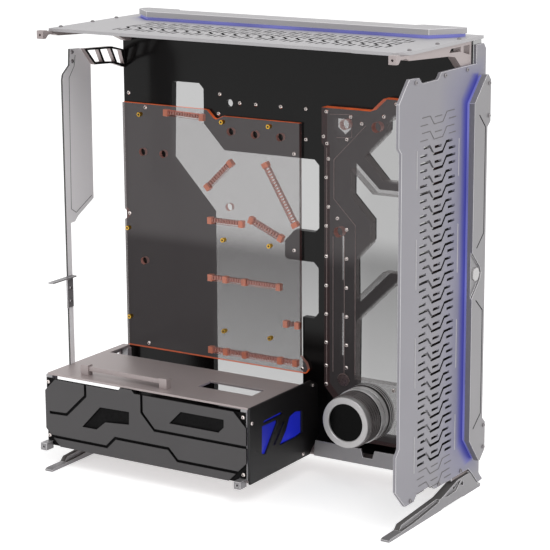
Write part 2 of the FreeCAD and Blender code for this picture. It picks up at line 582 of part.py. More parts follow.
def make_psu_box():
    """Power supply box: cover, shaped near and side panels, corner posts, rear frame and lamp."""
    cover = [("rear_face", "near_face + 2"), (SIDE_IN, "near_face + 2"), (SIDE_IN, "cover_far"),
             ("plate_rear + 5", "cover_far"), ("plate_rear + 5", "standoff_length"),
             ("rear_face", "standoff_length")]
    plate("psu_cover", "XY", COVER_IN, "cover_thick", cover, [box(192, -115, 274, -85.5)])

    low = BASE_BOTTOM
    near = [
        (-2, "near_top"), (100, "near_top"), (104, COVER_IN), (122, COVER_IN), (126, "near_top"),
        (278, "near_top"), (297, "near_top - 19"), (297, f"{low} + 27"), (270, low), (4, low),
        (-19, f"{low} + 23"), (-19, "near_top - 17"),
    ]
    cuts = [[(41.5, -107), (71, -76), (117.5, -75), (117, -92), (79, -95), (64.5, -107)],
            [(180.5, -80), (198.5, -62), (263.5, -62), (263.5, -72), (255.5, -80)]]
    panel = plate("psu_near_panel", "XZ", NEAR_BACK, "near_thick", near, cuts)
    seams = [
        [(47.5, "near_top + 1"), (47.5, -64.5), (16, -94.5), (-12, -95.5)],
        [(137.5, "near_top + 1"), (137.5, -72.5), (157, -93), (298, -93)],
        [(-20, -128), (80.5, -128), (94.5, -114), (178.5, -114), (192.5, -128), (298, -128)],
    ]
    add_pocket(panel, "XZ", "near_thick", [band(seam, "near_groove") for seam in seams])
    rear_notch = "tab_rear_x + tab_size / 2 + liner_gap"
    front_notch = "tab_front_x - tab_size / 2 - liner_gap"
    notch_top = f"{low} + (base_thick + tab_size) / 2 - tab_drop + liner_gap"
    liner = [
        (rear_notch, low), (front_notch, low), (front_notch, notch_top), ("liner_front", notch_top),
        ("liner_front", "near_top"), ("liner_rear", "near_top"), ("liner_rear", notch_top),
        (rear_notch, notch_top),
    ]
    plate("psu_near_liner", "XZ", NEAR_IN, "liner_thick", liner)

    side = [("near_face", low), ("base_lip", low), ("base_lip", "base_top"), (0, -123),
            (0, "cover_top - 8.5"), ("base_lip + 3", "cover_top"), ("near_face", "cover_top")]
    openings = [
        [(-136.5, -72), (-101, -72.5), (-100.5, -77), (-128, -110.5), (-137.5, -108)],
        [(-111, -104), (-105.5, -104), (-82, -80), (-87.5, -80)],
        [(-95, -108), (-80, -92.5), (-71, -76.5), (-57.5, -73.5), (-40.5, -77), (-40.5, -106),
         (-54, -108)],
        [(-134, -69), (-88, -68), (-91, -65), (-132, -66)],
    ]
    plate("psu_side_panel", "YZ", SIDE_IN, "side_thick", side, openings)
    plate("psu_light_panel", "YZ", LAMP_IN, "lamp_thick", box(-148, "base_top", -22, COVER_IN))

    front_x = f"{LAMP_IN} - post_gap - post_size"
    spots = [("post_rear", NEAR_IN), (front_x, NEAR_IN),
             (f"{REAR_IN} + post_gap", "standoff_length - post_depth"),
             (front_x, "cover_far - post_depth")]
    posts = new_body("psu_corner_posts", "XY", "base_top")
    add_pad(posts, "XY", f"{COVER_IN} - base_top",
            [box(u, v, f"{u} + post_size", f"{v} + post_depth") for u, v in spots])

    frame = box(f"{NEAR_IN} + post_depth", "base_top", "standoff_length", COVER_IN)
    gap = box(f"{NEAR_IN} + post_depth + 6", "base_top + 7", "standoff_length - 12", f"{COVER_IN} - 6")
    plate("psu_rear_frame", "YZ", "rear_face", "rear_thick", frame, [gap])
    columns = [f"{start} + post_size / 2" for start in ("post_rear", front_x)]
    screw_group("psu_screws", "-y", NEAR_BACK, [
        (columns[0], "near_top - 5.5"), (columns[0], f"{low} + 13"),
        (columns[1], "near_top - 6"), (columns[1], f"{low} + 11")])
    screw_group("psu_side_screws", "+x", "psu_front", [
        ("near_face + 4", "cover_top - 19.5"), ("base_lip + 6", "cover_top - 7"),
        ("base_lip - 19", f"{low} + 6")])

    blocks = new_body("cover_bar_blocks", "XY", "cover_top")
    add_pad(blocks, "XY", "bar_block", [box(29, -149, 41, -139), box(154, -149, 166, -139)])
    handle = new_body("cover_bar", "XY", "(cover_top + bar_height)")
    add_pad(handle, "XY", "bar_height", [box(41, -147, 154, -141)])


def make_plate_screws():
    screw_group("plate_screws", "-y", TRAY_BACK, [
        (-0.9, 308.3), (146, 317), (177.1, 307.5), (201.8, 307.5), (239.9, 307.5), (277.5, 307.5),
        (277.5, 268), (144, 291)])
    screw_group("tray_screws", "-y", "standoff_length", [
        (30.2, 291.5), (0.7, 144.2), (263.3, 249), (263, 121.8), (29, -34.8), (274.6, -35.5)])
    left = [(316.5, v) for v in (309, 224.7, 161.8, 122, 83.6, 45.8, 8, -23, -48)]
    right = [(346.5, v) for v in (276, 160, 122, 84, 45.8, 8, -22)]
    others = [(352, 305), (368, 297.6), (399.6, 309), (417, 326), (312.5, 277), (317.5, 268.6),
              (319.7, 249), (319.7, 187), (333, 173.4), (416, -42), (424, -68)]
    screw_group("distro_screws", "-y", DISTRO_FACE, left + right + others)


make_mid_plate()
make_board_tray()
make_standoffs()
make_distro_plate()
make_pump()
make_front_panel()
make_roof_panel()
make_trims()
make_hanger("top_hanger_front", f"({FRONT_IN} - hanger_thick)", "front_crest - 14")
make_hanger("top_hanger_rear", "hanger_rear", "rear_crest + 3")
make_rear_side()
make_base()
make_foot("front_foot", "(foot_front - foot_thick)")
make_foot("rear_foot", "foot_rear")
make_psu_box()
make_plate_screws()

doc.recompute()
failed = [item.Name for item in doc.Objects if {"Invalid", "Error"} & set(item.State)]
for piece in PIECES:
    if piece.Shape.isNull() or not piece.Shape.isValid() or not piece.Shape.Solids:
        failed.append(piece.Label)
if failed:
    raise SystemExit(f"failed: {failed}")

os.makedirs("parts", exist_ok=True)
for piece in PIECES:
    piece.Shape.exportStep(f"parts/{piece.Label}.step")
print(len(PIECES), "pieces written")
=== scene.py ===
"""Looks of the open-frame computer case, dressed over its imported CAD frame."""

import math

import bmesh
import bpy
from mathutils import Matrix, Vector


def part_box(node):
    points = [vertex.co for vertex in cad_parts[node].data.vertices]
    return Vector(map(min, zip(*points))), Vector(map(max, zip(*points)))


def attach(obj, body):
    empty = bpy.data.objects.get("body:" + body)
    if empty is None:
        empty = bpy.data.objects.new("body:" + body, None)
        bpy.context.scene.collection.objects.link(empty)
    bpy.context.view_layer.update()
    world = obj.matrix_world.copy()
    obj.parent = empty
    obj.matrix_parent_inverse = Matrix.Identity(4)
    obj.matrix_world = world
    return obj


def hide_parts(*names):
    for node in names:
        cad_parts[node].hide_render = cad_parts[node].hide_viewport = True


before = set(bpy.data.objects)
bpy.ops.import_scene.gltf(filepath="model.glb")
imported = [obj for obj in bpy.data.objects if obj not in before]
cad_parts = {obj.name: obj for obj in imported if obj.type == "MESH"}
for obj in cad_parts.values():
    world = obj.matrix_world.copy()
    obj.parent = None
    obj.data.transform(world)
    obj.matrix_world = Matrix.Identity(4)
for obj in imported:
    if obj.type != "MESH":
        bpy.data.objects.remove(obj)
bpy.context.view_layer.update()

MM = 0.001
# The board datum is the tip of the rear bottom stand-off. Places below are given from it in
# millimetres: +X to the front, +Y away from the open side, +Z up.
STANDOFF_RADIUS = 3.2
DATUM = Vector(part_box("board_standoffs")[0]) / MM + Vector(
    (STANDOFF_RADIUS, 0, STANDOFF_RADIUS * math.cos(math.pi / 6)))


def at(x, y, z):
    """A place measured from the board datum, in the frame's metres."""
    return (Vector((x, y, z)) + DATUM) * MM


def from_datum(place):
    """A place in the frame's metres, measured from the board datum."""
    return Vector(place) / MM - DATUM


def corners(node):
    """Lowest and highest corner of a CAD node, from the datum."""
    return [from_datum(corner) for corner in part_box(node)]


def centre(node):
    """Middle of a CAD node's box, from the datum."""
    low, high = corners(node)
    return (low + high) / 2


# Planes and axes of the frame, from the datum
TRAY_FRONT, TRAY_BACK = [corner.y for corner in corners("board_tray")]
DISTRO_FACE = corners("distro_plate")[0].y
FRONT_FACE = corners("front_panel")[1].x
TRIM_FACE = corners("front_trim")[1].x
REAR_FACE = corners("rear_panel")[1].x
FLOOR = corners("rear_foot")[0].z
BUTTON_Z = centre("power_button").z
PUMP_X, PUMP_Z = centre("pump_ring").xz


def linear(code):
    """An sRGB hex colour as linear RGBA."""
    channels = [int(code[i:i + 2], 16) / 255 for i in (1, 3, 5)]
    return [c / 12.92 if c <= 0.04045 else ((c + 0.055) / 1.055) ** 2.4 for c in channels] + [1.0]


def add(tree, kind, inputs=(), **settings):
    """Add a node, with its settings, its socket values and the links into it."""
    item = tree.nodes.new(kind)
    for name, setting in settings.items():
        setattr(item, name, setting)
    for socket, source in dict(inputs).items():
        if isinstance(source, bpy.types.NodeSocket):
            tree.links.new(source, item.inputs[socket])
        else:
            item.inputs[socket].default_value = source
    return item


def start_material(name):
    """A new material, its empty tree and the Object coordinates that its patterns read."""
    material = bpy.data.materials.new(name)
    material.use_nodes = True
    tree = material.node_tree
    tree.nodes.clear()
    return material, tree, add(tree, "ShaderNodeTexCoord").outputs["Object"]


def finish_material(tree, sockets):
    """Close a material's tree with a surface that takes these values and links."""
    shader = add(tree, "ShaderNodeBsdfPrincipled", sockets)
    add(tree, "ShaderNodeOutputMaterial", {"Surface": shader.outputs["BSDF"]})


# Most of a noise texture's values lie in this range
NOISE_SPREAD = {"From Min": 0.3, "From Max": 0.7}
# Sizes of the patterns in the finishes
GRIT, SHEEN_PATCH, COAT_PATCH = 0.8 * MM, 90 * MM, 80 * MM
EDGE_PATCH, LAMP_PATCH, WEAR_PATCH, SKIN_PATCH = 25 * MM, 60 * MM, 2 * MM, 3 * MM
BUMP_HEIGHT = 0.05 * MM
ACRYLIC_IOR = 1.49
SPILL_TINT, SPILL_GLOW, SPILL_STRENGTH = "#5052A4", "#4A50E6", 0.1
# Beyond its reach the light is a faint tint, up to so many times as far
FAINT_TINT, FAINT_REACH = 0.3, 3
# Blender's wave texture turns by so many radians in each unit of length
WAVE_TURN = 20


def spilled_light(tree, place, colour, guide, reach):
    """Sockets that tint a sheet near a light guide. The light is painted by place; no lamp casts it.

    The guide is its outline, edge by edge: a point on it, the way out, and how many times faster
    the light fades on that side. Reach is how far the strong light goes, in millimetres.
    """
    away = None
    for point, out, fade in guide:
        slope = Vector(out).normalized() * fade
        step = add(tree, "ShaderNodeVectorMath", {0: place, 1: at(*point)}, operation="SUBTRACT")
        side = add(tree, "ShaderNodeVectorMath", {0: step.outputs[0], 1: slope}, operation="DOT_PRODUCT")
        far = side.outputs["Value"]
        if away:
            far = add(tree, "ShaderNodeMath", {0: away, 1: far}, operation="MAXIMUM").outputs[0]
        away = far
    near = add(tree, "ShaderNodeMapRange", {
        "Value": away, "From Min": reach * MM, "From Max": 0.0}, interpolation_type="SMOOTHSTEP")
    wide = add(tree, "ShaderNodeMapRange", {
        "Value": away, "From Min": FAINT_REACH * reach * MM, "From Max": 0.0, "To Max": FAINT_TINT})
    wash = add(tree, "ShaderNodeMath", {0: near.outputs[0], 1: wide.outputs[0]}, operation="MAXIMUM")
    tint = add(tree, "ShaderNodeMix", {
        "Factor": wash.outputs[0], "A": linear(colour), "B": linear(SPILL_TINT)}, data_type="RGBA")
    glow = add(tree, "ShaderNodeMapRange", {"Value": near.outputs[0], "To Max": SPILL_STRENGTH})
    return {"Base Color": tint.outputs["Result"], "Emission Color": linear(SPILL_GLOW),
            "Emission Strength": glow.outputs[0]}


def blasted_aluminium(name, colour, roughness, metallic, guide=(), reach=1.0):
    """Anodised sheet, bead blasted: an even, soft grey with a very fine grit and a weak sheen.

    The real grit is about 0.1 mm; it is drawn at 0.8 mm so that it shows at all. A sheet beside a
    light guide has the guide's light painted on it.
    """
    material, tree, place = start_material(name)
    grit = add(tree, "ShaderNodeTexNoise", {"Vector": place, "Scale": 1 / GRIT, "Detail": 2.0})
    bump = add(tree, "ShaderNodeBump",
               {"Height": grit.outputs[0], "Strength": 0.06, "Distance": BUMP_HEIGHT})
    cloud = add(tree, "ShaderNodeTexNoise", {"Vector": place, "Scale": 1 / SHEEN_PATCH, "Detail": 1.0})
    sheen = add(tree, "ShaderNodeMapRange", {
        "Value": cloud.outputs[0], **NOISE_SPREAD,
        "To Min": roughness - 0.03, "To Max": roughness + 0.03})
    sockets = {"Base Color": linear(colour), "Metallic": metallic,
               "Roughness": sheen.outputs[0], "Normal": bump.outputs["Normal"]}
    if guide:
        sockets.update(spilled_light(tree, place, colour, guide, reach))
    finish_material(tree, sockets)
    return material


def gloss_black_coat():
    """Black powder coat, polished: deep black with a weak reflection that is a little uneven."""
    material, tree, place = start_material("gloss_black_coat")
    cloud = add(tree, "ShaderNodeTexNoise", {"Vector": place, "Scale": 1 / COAT_PATCH, "Detail": 1.0})
    polish = add(tree, "ShaderNodeMapRange", {"Value": cloud.outputs[0], "To Min": 0.12, "To Max": 0.2})
    finish_material(tree, {
        "Base Color": linear("#0C0B0B"), "Roughness": polish.outputs[0], "Specular IOR Level": 0.2})
    return material


# Painted shade darkens the acrylic downwards between the first two heights, and eases a little
# down to the third
SHADE_START, SHADE_FULL, SHADE_END = [at(0, 0, height).z for height in (135, 105, -45)]
SHADE_EASING = 0.08


def smoked_acrylic(name, cover, colour, shaded_cover, shaded_colour):
    """Smoked cast acrylic: a grey sheet to see through, with painted shade that darkens its lower half.

    Its haze is a weak glow over black, and it has no gloss, though the real sheet is polished: a
    diffuse haze and any gloss came out as grain.
    """
    material, tree, place = start_material(name)
    height = add(tree, "ShaderNodeSeparateXYZ", {0: place}).outputs["Z"]
    low = add(tree, "ShaderNodeMapRange", {
        "Value": height, "From Min": SHADE_START, "From Max": SHADE_FULL},
        interpolation_type="SMOOTHSTEP").outputs[0]
    cover_and_shade = add(tree, "ShaderNodeMapRange", {"Value": low, "To Min": cover, "To Max": shaded_cover})
    shade_lift = add(tree, "ShaderNodeMapRange", {
        "Value": height, "From Min": SHADE_FULL, "From Max": SHADE_END, "To Max": SHADE_EASING})
    seen = add(tree, "ShaderNodeMath", {0: cover_and_shade.outputs[0], 1: shade_lift.outputs[0]}, operation="SUBTRACT")
    tint = add(tree, "ShaderNodeMix", {
        "Factor": low, "A": linear(colour), "B": linear(shaded_colour)}, data_type="RGBA")
    finish_material(tree, {
        "Base Color": linear("#000000"), "Specular IOR Level": 0.0, "Alpha": seen.outputs[0],
        "Emission Color": tint.outputs["Result"], "Emission Strength": 1.0})
    return material


def cut_edge(name, colour, glow, strength, cover=0.9):
    """Laser-cut edge of the acrylic, its glow painted on, unevenly along its length."""
    material, tree, place = start_material(name)
    flow = add(tree, "ShaderNodeTexNoise", {"Vector": place, "Scale": 1 / EDGE_PATCH, "Detail": 2.0})
    shine = add(tree, "ShaderNodeMapRange", {
        "Value": flow.outputs[0], **NOISE_SPREAD,
        "To Min": 0.6 * strength, "To Max": 1.4 * strength})
    finish_material(tree, {
        "Base Color": linear(colour), "Roughness": 0.15, "IOR": ACRYLIC_IOR, "Alpha": cover,
        "Emission Color": linear(glow), "Emission Strength": shine.outputs[0]})
    return material


# Heights of the glass's band of painted shade and of the paler ends above and below it, and its
# step to the front
GLASS_TOP, GLASS_BAND, GLASS_END = [at(0, 0, height).z for height in (150, 105, -110)]
GLASS_REAR, GLASS_FRONT = [at(x, 0, 0).x for x in (300, 360)]
# Cover of the glass at the top, in the band of painted shade, at the bottom, and added towards the front
TINT_TOP, BAND_SHADE_COVER, TINT_END, TINT_FRONT = 0.31, 0.47, 0.28, 0.07


def tinted_glass():
    """Tempered glass of the far side, tinted grey: the room shows through it, with a band of painted
    shade.

    The band lies across the middle, as in the photograph, and the glass is a little darker towards
    the front. Like the acrylic, it has no gloss here.
    """
    material, tree, place = start_material("tinted_tempered_glass")
    split = add(tree, "ShaderNodeSeparateXYZ", {0: place}).outputs
    upper = add(tree, "ShaderNodeMapRange", {
        "Value": split["Z"], "From Min": GLASS_BAND, "From Max": GLASS_TOP,
        "To Min": BAND_SHADE_COVER, "To Max": TINT_TOP}, interpolation_type="SMOOTHSTEP")
    lower = add(tree, "ShaderNodeMapRange", {
        "Value": split["Z"], "From Min": GLASS_END, "From Max": GLASS_BAND,
        "To Min": TINT_END, "To Max": BAND_SHADE_COVER})
    level = add(tree, "ShaderNodeMath", {0: upper.outputs[0], 1: lower.outputs[0]}, operation="MINIMUM")
    front = add(tree, "ShaderNodeMapRange", {
        "Value": split["X"], "From Min": GLASS_REAR, "From Max": GLASS_FRONT, "To Max": TINT_FRONT})
    tint = add(tree, "ShaderNodeMath", {0: level.outputs[0], 1: front.outputs[0]}, operation="ADD")
    finish_material(tree, {
        "Base Color": linear("#000000"), "Specular IOR Level": 0.0, "Alpha": tint.outputs[0]})
    return material


def lit_acrylic(name, colour, strength, body):
    """Frosted acrylic with lamps behind it: an even coloured glow, brighter in soft patches."""
    material, tree, place = start_material(name)
    lamps = add(tree, "ShaderNodeTexNoise", {"Vector": place, "Scale": 1 / LAMP_PATCH, "Detail": 0.0})
    level = add(tree, "ShaderNodeMapRange", {
        "Value": lamps.outputs[0], **NOISE_SPREAD,
        "To Min": strength * 0.8, "To Max": strength * 1.2})
    finish_material(tree, {
        "Base Color": linear(body), "Roughness": 0.35, "IOR": ACRYLIC_IOR,
        "Emission Color": linear(colour), "Emission Strength": level.outputs[0]})
    return material


def turned_metal(name, colour, roughness, pitch, metallic):
    """Metal turned on a lathe: fine rings about the pump's axis that spread the highlights."""
    material, tree, place = start_material(name)
    rings = add(tree, "ShaderNodeTexWave", {
        "Vector": place, "Scale": math.tau / (WAVE_TURN * pitch * MM), "Distortion": 0.4, "Detail": 1.0},
        bands_direction="Y")
    bump = add(tree, "ShaderNodeBump",
               {"Height": rings.outputs[0], "Strength": 0.15, "Distance": BUMP_HEIGHT})
    finish_material(tree, {
        "Base Color": linear(colour), "Metallic": metallic, "Roughness": roughness,
        "Normal": bump.outputs["Normal"]})
    return material


def plated_metal(name, colour, roughness):
    """Small machined or plated metal parts: bright, with slightly uneven polish."""
    material, tree, place = start_material(name)
    wear = add(tree, "ShaderNodeTexNoise", {"Vector": place, "Scale": 1 / WEAR_PATCH, "Detail": 2.0})
    polish = add(tree, "ShaderNodeMapRange", {
        "Value": wear.outputs[0], **NOISE_SPREAD,
        "To Min": roughness - 0.08, "To Max": roughness + 0.08})
    finish_material(tree, {
        "Base Color": linear(colour), "Metallic": 1.0, "Roughness": polish.outputs[0]})
    return material


def plain_coat(name, colour, roughness, gloss=0.5):
    """Paint, plastic or a milled mark in one plain colour, with a faint uneven gloss."""
    material, tree, place = start_material(name)
    skin = add(tree, "ShaderNodeTexNoise", {"Vector": place, "Scale": 1 / SKIN_PATCH, "Detail": 2.0})
    polish = add(tree, "ShaderNodeMapRange", {
        "Value": skin.outputs[0], **NOISE_SPREAD,
        "To Min": roughness * 0.8, "To Max": roughness * 1.2})
    finish_material(tree, {
        "Base Color": linear(colour), "Roughness": polish.outputs[0], "Specular IOR Level": gloss})
    return material


# Outlines of the light guides on the front panel and the roof: point, way out and fade of each edge
SLOW, FAST = 1, 3
FRONT_GUIDE = [
    ((0, -4, 0), (0, -1, 0), SLOW), ((0, -4, 335), (0, -31.5, 32), SLOW),
    ((0, -4, -91), (0, -33, -27), SLOW), ((0, 20, 0), (0, 1, 0), FAST),
    ((0, 0, 364), (0, 0, 1), FAST), ((0, 0, -121), (0, 0, -1), FAST),
]
ROOF_GUIDE = [
    ((0, -19, 0), (0, -1, 0), SLOW), ((470, -19, 0), (37, -30, 0), SLOW),
    ((54, -19, 0), (-28, -32, 0), SLOW), ((498, 0, 0), (1, 0, 0), FAST),
    ((24, 0, 0), (-1, 0, 0), FAST), ((0, 12, 0), (0, 1, 0), FAST),
]
FRONT_SPILL, ROOF_SPILL = 25.0, 7.0

# All of these are blasted aluminium, with greys matched piece by piece to the photograph
# The satin greys are lit and shaded copies of one metal: their differences are painted light and shade
SATIN = blasted_aluminium("blasted_aluminium", "#B2B0B2", 0.48, 0.35)
FRONT_SATIN = blasted_aluminium(
    "blasted_aluminium_beside_guide", "#949298", 0.48, 0.35, FRONT_GUIDE, FRONT_SPILL)
ROOF_SATIN = blasted_aluminium(
    "blasted_aluminium_under_guide", "#B6B4B6", 0.48, 0.35, ROOF_GUIDE, ROOF_SPILL)
# Painted shade: a darker copy, for the trim's near side
SHADED_SATIN = blasted_aluminium("blasted_aluminium_in_shade", "#848284", 0.48, 0.35)
# Painted light: a near-white copy, for the face of the rear panel
REAR_LIT_SATIN = blasted_aluminium("blasted_aluminium_rear_painted_light", "#F4F2F4", 0.6, 0.0)
TRIM_SATIN = blasted_aluminium("blasted_aluminium_trim", "#929092", 0.4, 0.5)
FOOT_SATIN = blasted_aluminium("blasted_aluminium_foot", "#8E8C8E", 0.4, 0.5)
# Rim of broken edges: cut metal, made lighter than the sheet as a painted highlight
CUT_EDGE_HIGHLIGHT = blasted_aluminium("cut_aluminium_edge_highlight", "#E6E4E6", 0.3, 0.6)
COVER_GREY = blasted_aluminium("grey_anodised_aluminium", "#AFA4A3", 0.42, 0.4)
CHARCOAL = blasted_aluminium("charcoal_anodised_aluminium", "#4E4C4D", 0.5, 0.3)
# Painted shade, for the walls of the feet's recesses
RECESS_GREY = blasted_aluminium("shaded_aluminium_recess", "#62605F", 0.5, 0.3)
NEAR_BLACK = blasted_aluminium("black_anodised_aluminium", "#181718", 0.45, 0.3)
BLACK = gloss_black_coat()
# Painted shade: black on the walls of slots, grooves and narrow gaps, so that they read as deep, and on
# the near panel's liner
SHADOW = plain_coat("painted_shade_wall", "#0B0A0B", 0.6, 0.1)
GLASS = tinted_glass()
# The last cover and colour of each are the painted shade of its lower half
TRAY_ACRYLIC = smoked_acrylic("smoked_acrylic_tray", 0.22, "#7E797A", 0.41, "#4D494A")
DISTRO_ACRYLIC = smoked_acrylic("smoked_acrylic_distro", 0.22, "#767172", 0.32, "#484445")
# The glow of the acrylic's cut edges is painted light: bright where light falls, dark copies for painted
# shade
BRIGHT_EDGE = cut_edge("acrylic_edge_in_light", "#C25A30", "#E0602A", 0.55)
DARK_EDGE = cut_edge("acrylic_edge_in_shade", "#3A1A18", "#6A2420", 0.06, 0.8)
GREY_EDGE = cut_edge("acrylic_edge_polished", "#807A7A", "#806A64", 0.05, 0.6)
COMB_EDGE = cut_edge("acrylic_edge_of_combs", "#A87C74", "#B8705E", 0.12, 0.75)
COMB_BLOCK = cut_edge("acrylic_comb_end", "#B87460", "#D07A5C", 0.2, 0.85)
GUIDE = lit_acrylic("lit_acrylic_guide", "#7678BE", 0.75, "#20224A")
LAMP = lit_acrylic("lit_acrylic_lamp", "#1A26C0", 0.6, "#101438")
BRASS = plated_metal("machined_brass", "#D2A640", 0.3)
STEEL = plated_metal("nickel_plated_steel", "#E2D8D4", 0.25)
DULL_STEEL = plated_metal("zinc_plated_steel", "#8E8A8C", 0.35)
PLUG = plated_metal("dark_nickel_plug", "#7A6A68", 0.3)
# Painted shadow in screw drives and the stand-offs' bores
SOCKET = plain_coat("screw_socket_shadow", "#161313", 0.5)
PUMP_METAL = turned_metal("turned_aluminium", "#BEBCBC", 0.36, 0.5, 0.6)
BAND_METAL = turned_metal("turned_bright_aluminium", "#DCDADA", 0.3, 0.5, 0.45)
PUMP_BLACK = turned_metal("turned_black_aluminium", "#625D5D", 0.36, 0.8, 0.6)
CAP_BLACK = plain_coat("polished_black_acrylic", "#050505", 0.15, 0.06)
# Marks on the sheets: engraved ones are darker than the metal beside them, as painted shade of their
# grooves; polished ones lighter
LINE_DARK = plain_coat("engraved_line", "#6B6868", 0.6)
LINE_LIGHT = plain_coat("polished_line", "#C9C7C9", 0.35)
LINE_ACRYLIC = plain_coat("milled_channel_edge", "#8C7A78", 0.3)

# Distances, in millimetres, under which points are merged, in CAD copies and in turned skins
WELD, TURNED_WELD = 0.001, 0.002
FLAT_ANGLE, SHARP_ANGLE, BEVEL_ANGLE = math.radians(0.5), math.radians(30), math.radians(40)
TURNED_SHARP_ANGLE = math.radians(25)
BEVEL_STEPS = 2
# Points this near a piece's far face lie on it
SEAT_SLACK = 0.01


def welded(node, whole=False):
    """A copy of a CAD node's mesh in one skin, its flat faces made whole again if asked."""
    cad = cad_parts[node]
    mesh = cad.data.copy()
    mesh.transform(cad.matrix_world)
    work = bmesh.new()
    work.from_mesh(mesh)
    bmesh.ops.remove_doubles(work, verts=work.verts, dist=WELD * MM)
    if whole:
        bmesh.ops.dissolve_limit(work, angle_limit=FLAT_ANGLE, verts=work.verts, edges=work.edges)
    work.to_mesh(mesh)
    work.free()
    return mesh


def put(name, mesh, material, slot, *nodes, body="case"):
    """Set a finished mesh on its body, in the place of the CAD nodes that it stands for."""
    piece = bpy.data.objects.new(name, mesh)
    bpy.context.collection.objects.link(piece)
    if material:
        mesh.materials.clear()
        mesh.materials.append(material)
    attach(piece, body)
    if nodes:
        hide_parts(*nodes)
    return piece


def paint(mesh, finishes, pick):
    """Give each face the finish that pick chooses, from its middle and the face itself.

    The mesh already has the first of the finishes.
    """
    for finish in finishes[1:]:
        mesh.materials.append(finish)
    for face in mesh.polygons:
        face.material_index = finishes.index(pick(from_datum(face.center), face))


def soften(node, finish, slot, edge, body="case", others=(), pick=None, rim=None, clear=0.0, crisp=None):
    """The CAD piece with broken edges, which catch the light as real ones do; a rim is a painted
    highlight.

    Pick says which finish a face takes, its own or one of the others, and rim is the finish of the
    broken edges where it isn't that of the faces beside them. Clear draws a see-through piece's far
    face back by so many millimetres from the plate that it lies on, and crisp says of a place on an
    edge that it stays sharp.
    """
    mesh = welded(node, whole=True)
    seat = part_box(node)[1][1]
    for vert in mesh.vertices:
        if clear and vert.co.y > seat - SEAT_SLACK * MM:
            vert.co.y -= clear * MM
    mesh.shade_smooth()
    mesh.set_sharp_from_angle(angle=SHARP_ANGLE)
    piece = put(node + "_finished", mesh, finish, slot, node, body=body)
    if pick:
        paint(mesh, [finish, *others], pick)
    bevel = piece.modifiers.new("broken_edges", "BEVEL")
    bevel.width = edge * MM
    bevel.segments = BEVEL_STEPS
    bevel.limit_method = "ANGLE"
    bevel.angle_limit = BEVEL_ANGLE
    bevel.harden_normals = True
    if crisp:
        weights = mesh.attributes.new("bevel_weight_edge", "FLOAT", "EDGE")
        for line in mesh.edges:
            start, end = [from_datum(mesh.vertices[i].co) for i in line.vertices]
            broken = line.use_edge_sharp and not crisp((start + end) / 2)
            weights.data[line.index].value = float(broken)
        bevel.limit_method = "WEIGHT"
    if rim:
        mesh.materials.append(rim)
        bevel.material = len(mesh.materials) - 1


# A face looks along an axis if that part of its normal is over FACING, and leans that way over
# LEANING. It looks down if the upward part is under DOWNWARD.
FACING, LEANING, DOWNWARD = 0.5, 0.3, -0.2
# Vents: middle lines along Y, half the width, and where they lie along Z in front and X in the roof
VENT_FRONT_MID, VENT_ROOF_MID, VENT_HALF = -78.0, -86.0, 46.0
FRONT_VENTS_LOW, FRONT_VENTS_TOP = -98.0, 302.0
ROOF_VENTS_REAR, ROOF_VENTS_FRONT = 60.0, 480.0
# Groove in the front trim's face: its near limit along Y, its depth and the slack in finding it
TRIM_GROOVE_NEAR, TRIM_GROOVE_DEPTH, TRIM_GROOVE_SLACK = 18.0, 0.6, 0.4
# Height of a foot's sole
FOOT_SOLE = 4.2
# The acrylic's glowing edges lie beyond these heights, the distribution plate's windows in these limits
TRAY_GLOW_LOW, TRAY_GLOW_TOP, DISTRO_GLOW_TOP = -38.0, 284.0, 305.0
WINDOWS_REAR, WINDOWS_FRONT, WINDOWS_LOW, WINDOWS_TOP = 340.0, 462.0, -50.0, 312.0
# A face of a hole's round wall in the acrylic is smaller than this, in square millimetres
HOLE_FACET = 70.0
# Distance that the acrylic keeps from the black plate, so that their faces don't lie in one plane
ACRYLIC_CLEAR = 0.3
# Cable combs of the tray: both ends of each slot's middle line. The last has no slot in the solid.
COMBS = [
    ((61.4, 286.5), (121.5, 284.5)), ((126.5, 191.4), (165.1, 228.5)), ((217.7, 230.9), (264, 153.3)),
    ((129.8, 147.4), (182, 147.4)), ((194.6, 154.7), (242.6, 134.3)), ((129.2, 69.3), (239.6, 69.3)),
    ((128.7, -30.5), (264.9, -30.5)), ((247.5, 21), (268, 21)),
]
COMB_WIDTH = 7.5
# Faces beyond a slot's ends by up to this share of its length still belong to it
COMB_OVERRUN = 0.1


def in_front_vents(place):
    """Whether a place on the front panel lies among its vents."""
    return abs(place.y - VENT_FRONT_MID) < VENT_HALF and FRONT_VENTS_LOW < place.z < FRONT_VENTS_TOP


def front_wall(middle, face):
    """Painted shade, black, where a vent's lower wall faces up; plain on the inner face."""
    if face.normal.x < -FACING:
        return SATIN
    return SHADOW if in_front_vents(middle) and face.normal.z > LEANING else FRONT_SATIN


def roof_wall(middle, face):
    """Painted shade, black, on the walls of the vents; plain on the inner face."""
    if face.normal.z < -FACING:
        return SATIN
    inside = abs(middle.y - VENT_ROOF_MID) < VENT_HALF and ROOF_VENTS_REAR < middle.x < ROOF_VENTS_FRONT
    return SHADOW if inside and abs(face.normal.z) < FACING else ROOF_SATIN


def near_wall(middle, face):
    """Painted shade, black, on the near panel's edges and the walls of its cut-outs."""
    return SHADOW if abs(face.normal.y) < FACING else CHARCOAL


def trim_wall(middle, face):
    """Painted shade: black in the groove along the trim's face, and darker on its near side."""
    off_floor = abs(TRIM_FACE - TRIM_GROOVE_DEPTH - middle.x)
    if middle.y > TRIM_GROOVE_NEAR and off_floor < TRIM_GROOVE_SLACK:
        return SHADOW
    return SHADED_SATIN if face.normal.y < -LEANING else TRIM_SATIN


def rear_wall(middle, face):
    """Painted shade, dark, on the panel's edges, and painted light, near white, on its outer face."""
    if face.normal.x > FACING:
        return REAR_LIT_SATIN
    return SATIN if face.normal.x < -FACING else CHARCOAL


